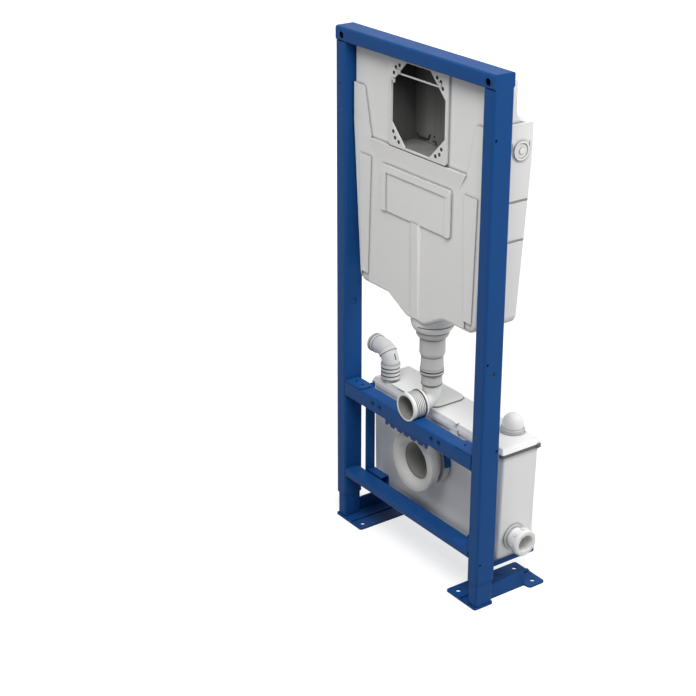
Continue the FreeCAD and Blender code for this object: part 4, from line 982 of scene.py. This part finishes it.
class TOILETFRAME_OT_elbow_mark(bpy.types.Operator):
    """Raise the alignment mark on the lower discharge elbow"""
    bl_idname = "toiletframe.elbow_mark"
    bl_label = "Elbow Mark"

    def execute(self, context):
        centre = Vector((-0.1680, 0.0055, 0.3986))
        half_size = Vector((0.0014, 0.0009, 0.007))
        lean = math.radians(23)
        mark = block("elbow_mark", centre - half_size, centre + half_size)
        edit(mark)
        pick(mark, "edges", lambda edge, _: abs(edge.verts[0].co.x - edge.verts[1].co.x) > 0.002)
        bpy.ops.mesh.bevel(offset=0.0008, segments=4, affect="EDGES")
        bpy.ops.mesh.select_all(action="SELECT")
        bpy.ops.transform.rotate(value=lean, orient_axis="Y", center_override=centre)
        leave()
        soften(mark, 0.0003)
        dress(mark, "seal_rubber")
        return {"FINISHED"}


def area_light(name, place, watts):
    """A square soft light that faces the middle of the object."""
    data = bpy.data.lights.new(name, "AREA")
    data.energy = watts
    data.size = LIGHT_SIZE
    lamp = bpy.data.objects.new(name, data)
    lamp.location = place
    lamp.rotation_euler = (LIGHT_AIM - Vector(place)).to_track_quat("-Z", "Y").to_euler()
    bpy.context.scene.collection.objects.link(lamp)


def seen_directly(tree):
    """1 where the camera looks straight at something, or sees it in gloss or through glass."""
    path = tree.nodes.new("ShaderNodeLightPath").outputs
    either = add_math(tree, "MAXIMUM", path["Is Camera Ray"], path["Is Glossy Ray"])
    return add_math(tree, "MAXIMUM", either, path["Is Transmission Ray"])


def studio_world(stage):
    """White to look at, and a soft light that fades from overhead to the horizon."""
    world = bpy.data.worlds.new("studio")
    world.use_nodes = True
    tree = world.node_tree
    split = tree.nodes.new("ShaderNodeSeparateXYZ")
    tree.links.new(add_place(tree, "Generated"), split.inputs["Vector"])
    fade = add_range(tree, split.outputs["Z"], 0, 1, stage.sky_edge, stage.sky_top)
    choice = tree.nodes.new("ShaderNodeMix")
    tree.links.new(seen_directly(tree), choice.inputs["Factor"])
    tree.links.new(fade, choice.inputs["A"])
    choice.inputs["B"].default_value = 1
    tree.links.new(choice.outputs["Result"], tree.nodes["Background"].inputs["Strength"])
    tree.nodes["Background"].inputs["Color"].default_value = (1, 1, 1, 1)
    return world


def floor_material():
    """A pale floor that looks white, throws little light back and keeps the shadow."""
    near, far, near_glow = 0.8, 1.7, 0.7
    material = bpy.data.materials.new("pale_floor")
    material.use_nodes = True
    tree = material.node_tree
    shader = tree.nodes["Principled BSDF"]
    shader.inputs["Base Color"].default_value = (0.45, 0.45, 0.45, 1)
    shader.inputs["Roughness"].default_value = 0.9
    reach = tree.nodes.new("ShaderNodeVectorMath")
    reach.operation = "LENGTH"
    tree.links.new(add_place(tree), reach.inputs[0])
    outward = add_range(tree, reach.outputs["Value"], near, far, near_glow, 1)
    glow = tree.nodes.new("ShaderNodeEmission")
    tree.links.new(add_math(tree, "MULTIPLY", seen_directly(tree), outward), glow.inputs["Strength"])
    both = tree.nodes.new("ShaderNodeAddShader")
    tree.links.new(shader.outputs["BSDF"], both.inputs[0])
    tree.links.new(glow.outputs["Emission"], both.inputs[1])
    tree.links.new(both.outputs["Shader"], tree.nodes["Material Output"].inputs["Surface"])
    return material


class TOILETFRAME_OT_stage(bpy.types.Operator):
    """Set up the floor, the light and the camera"""
    bl_idname = "toiletframe.stage"
    bl_label = "Stage"

    def execute(self, context):
        scene = context.scene
        stage = scene.frame_stage
        scene.view_settings.view_transform = "Standard"
        scene.world = studio_world(stage)
        bpy.ops.object.select_all(action="DESELECT")
        bpy.ops.mesh.primitive_plane_add(size=14, location=(0, 0, 0))
        floor = context.object
        floor.name = "floor"
        floor.data.materials.append(floor_material())
        area_light("key_light", (1.42, -1.42, 3.42), stage.key_watts)
        area_light("side_light", (1.84, 2.2, 2.56), stage.side_watts)
        area_light("fill_light", (-1.9, -1.9, 2.8), stage.fill_watts)
        camera_data = bpy.data.cameras.new("camera")
        camera_data.sensor_width = 36
        camera_data.lens = stage.lens
        camera = bpy.data.objects.new("camera", camera_data)
        camera.location = stage.camera_place
        camera.rotation_euler = (stage.camera_tilt, 0, stage.camera_turn)
        scene.collection.objects.link(camera)
        scene.camera = camera
        return {"FINISHED"}


class TOILETFRAME_PT_panel(bpy.types.Panel):
    """Lists the steps that dress the frame"""
    bl_idname = "TOILETFRAME_PT_panel"
    bl_label = "Toilet Frame"
    bl_space_type = "VIEW_3D"
    bl_region_type = "UI"
    bl_category = "Toilet Frame"

    def draw(self, context):
        for operator in OPERATORS:
            self.layout.operator(operator.bl_idname)


OPERATORS = (
    TOILETFRAME_OT_finish_solids,
    TOILETFRAME_OT_bolt_bushes,
    TOILETFRAME_OT_weld_beads,
    TOILETFRAME_OT_lid_seal,
    TOILETFRAME_OT_union_lugs,
    TOILETFRAME_OT_flush_joints,
    TOILETFRAME_OT_shadow_rings,
    TOILETFRAME_OT_socket_liners,
    TOILETFRAME_OT_tray_fold,
    TOILETFRAME_OT_cistern_seam,
    TOILETFRAME_OT_cover_shadow_and_hooks,
    TOILETFRAME_OT_opening_fittings,
    TOILETFRAME_OT_elbow_mark,
    TOILETFRAME_OT_stage,
)
CLASSES = (FrameColours, FrameDetails, FrameStage, *OPERATORS, TOILETFRAME_PT_panel)


def register():
    for item in CLASSES:
        bpy.utils.register_class(item)
    bpy.types.Scene.frame_colours = bpy.props.PointerProperty(type=FrameColours)
    bpy.types.Scene.frame_details = bpy.props.PointerProperty(type=FrameDetails)
    bpy.types.Scene.frame_stage = bpy.props.PointerProperty(type=FrameStage)


def unregister():
    del bpy.types.Scene.frame_stage
    del bpy.types.Scene.frame_details
    del bpy.types.Scene.frame_colours
    for item in reversed(CLASSES):
        bpy.utils.unregister_class(item)


def main():
    register()
    bpy.ops.toiletframe.finish_solids()
    bpy.ops.toiletframe.bolt_bushes()
    bpy.ops.toiletframe.weld_beads()
    bpy.ops.toiletframe.lid_seal()
    bpy.ops.toiletframe.union_lugs()
    bpy.ops.toiletframe.flush_joints()
    bpy.ops.toiletframe.joint_rings()
    bpy.ops.toiletframe.socket_liners()
    bpy.ops.toiletframe.tray_fold()
    bpy.ops.toiletframe.cistern_seam()
    bpy.ops.toiletframe.lid_joints()
    bpy.ops.toiletframe.opening_fittings()
    bpy.ops.toiletframe.elbow_mark()
    bpy.ops.toiletframe.stage()


if __name__ == "__main__":
    main()
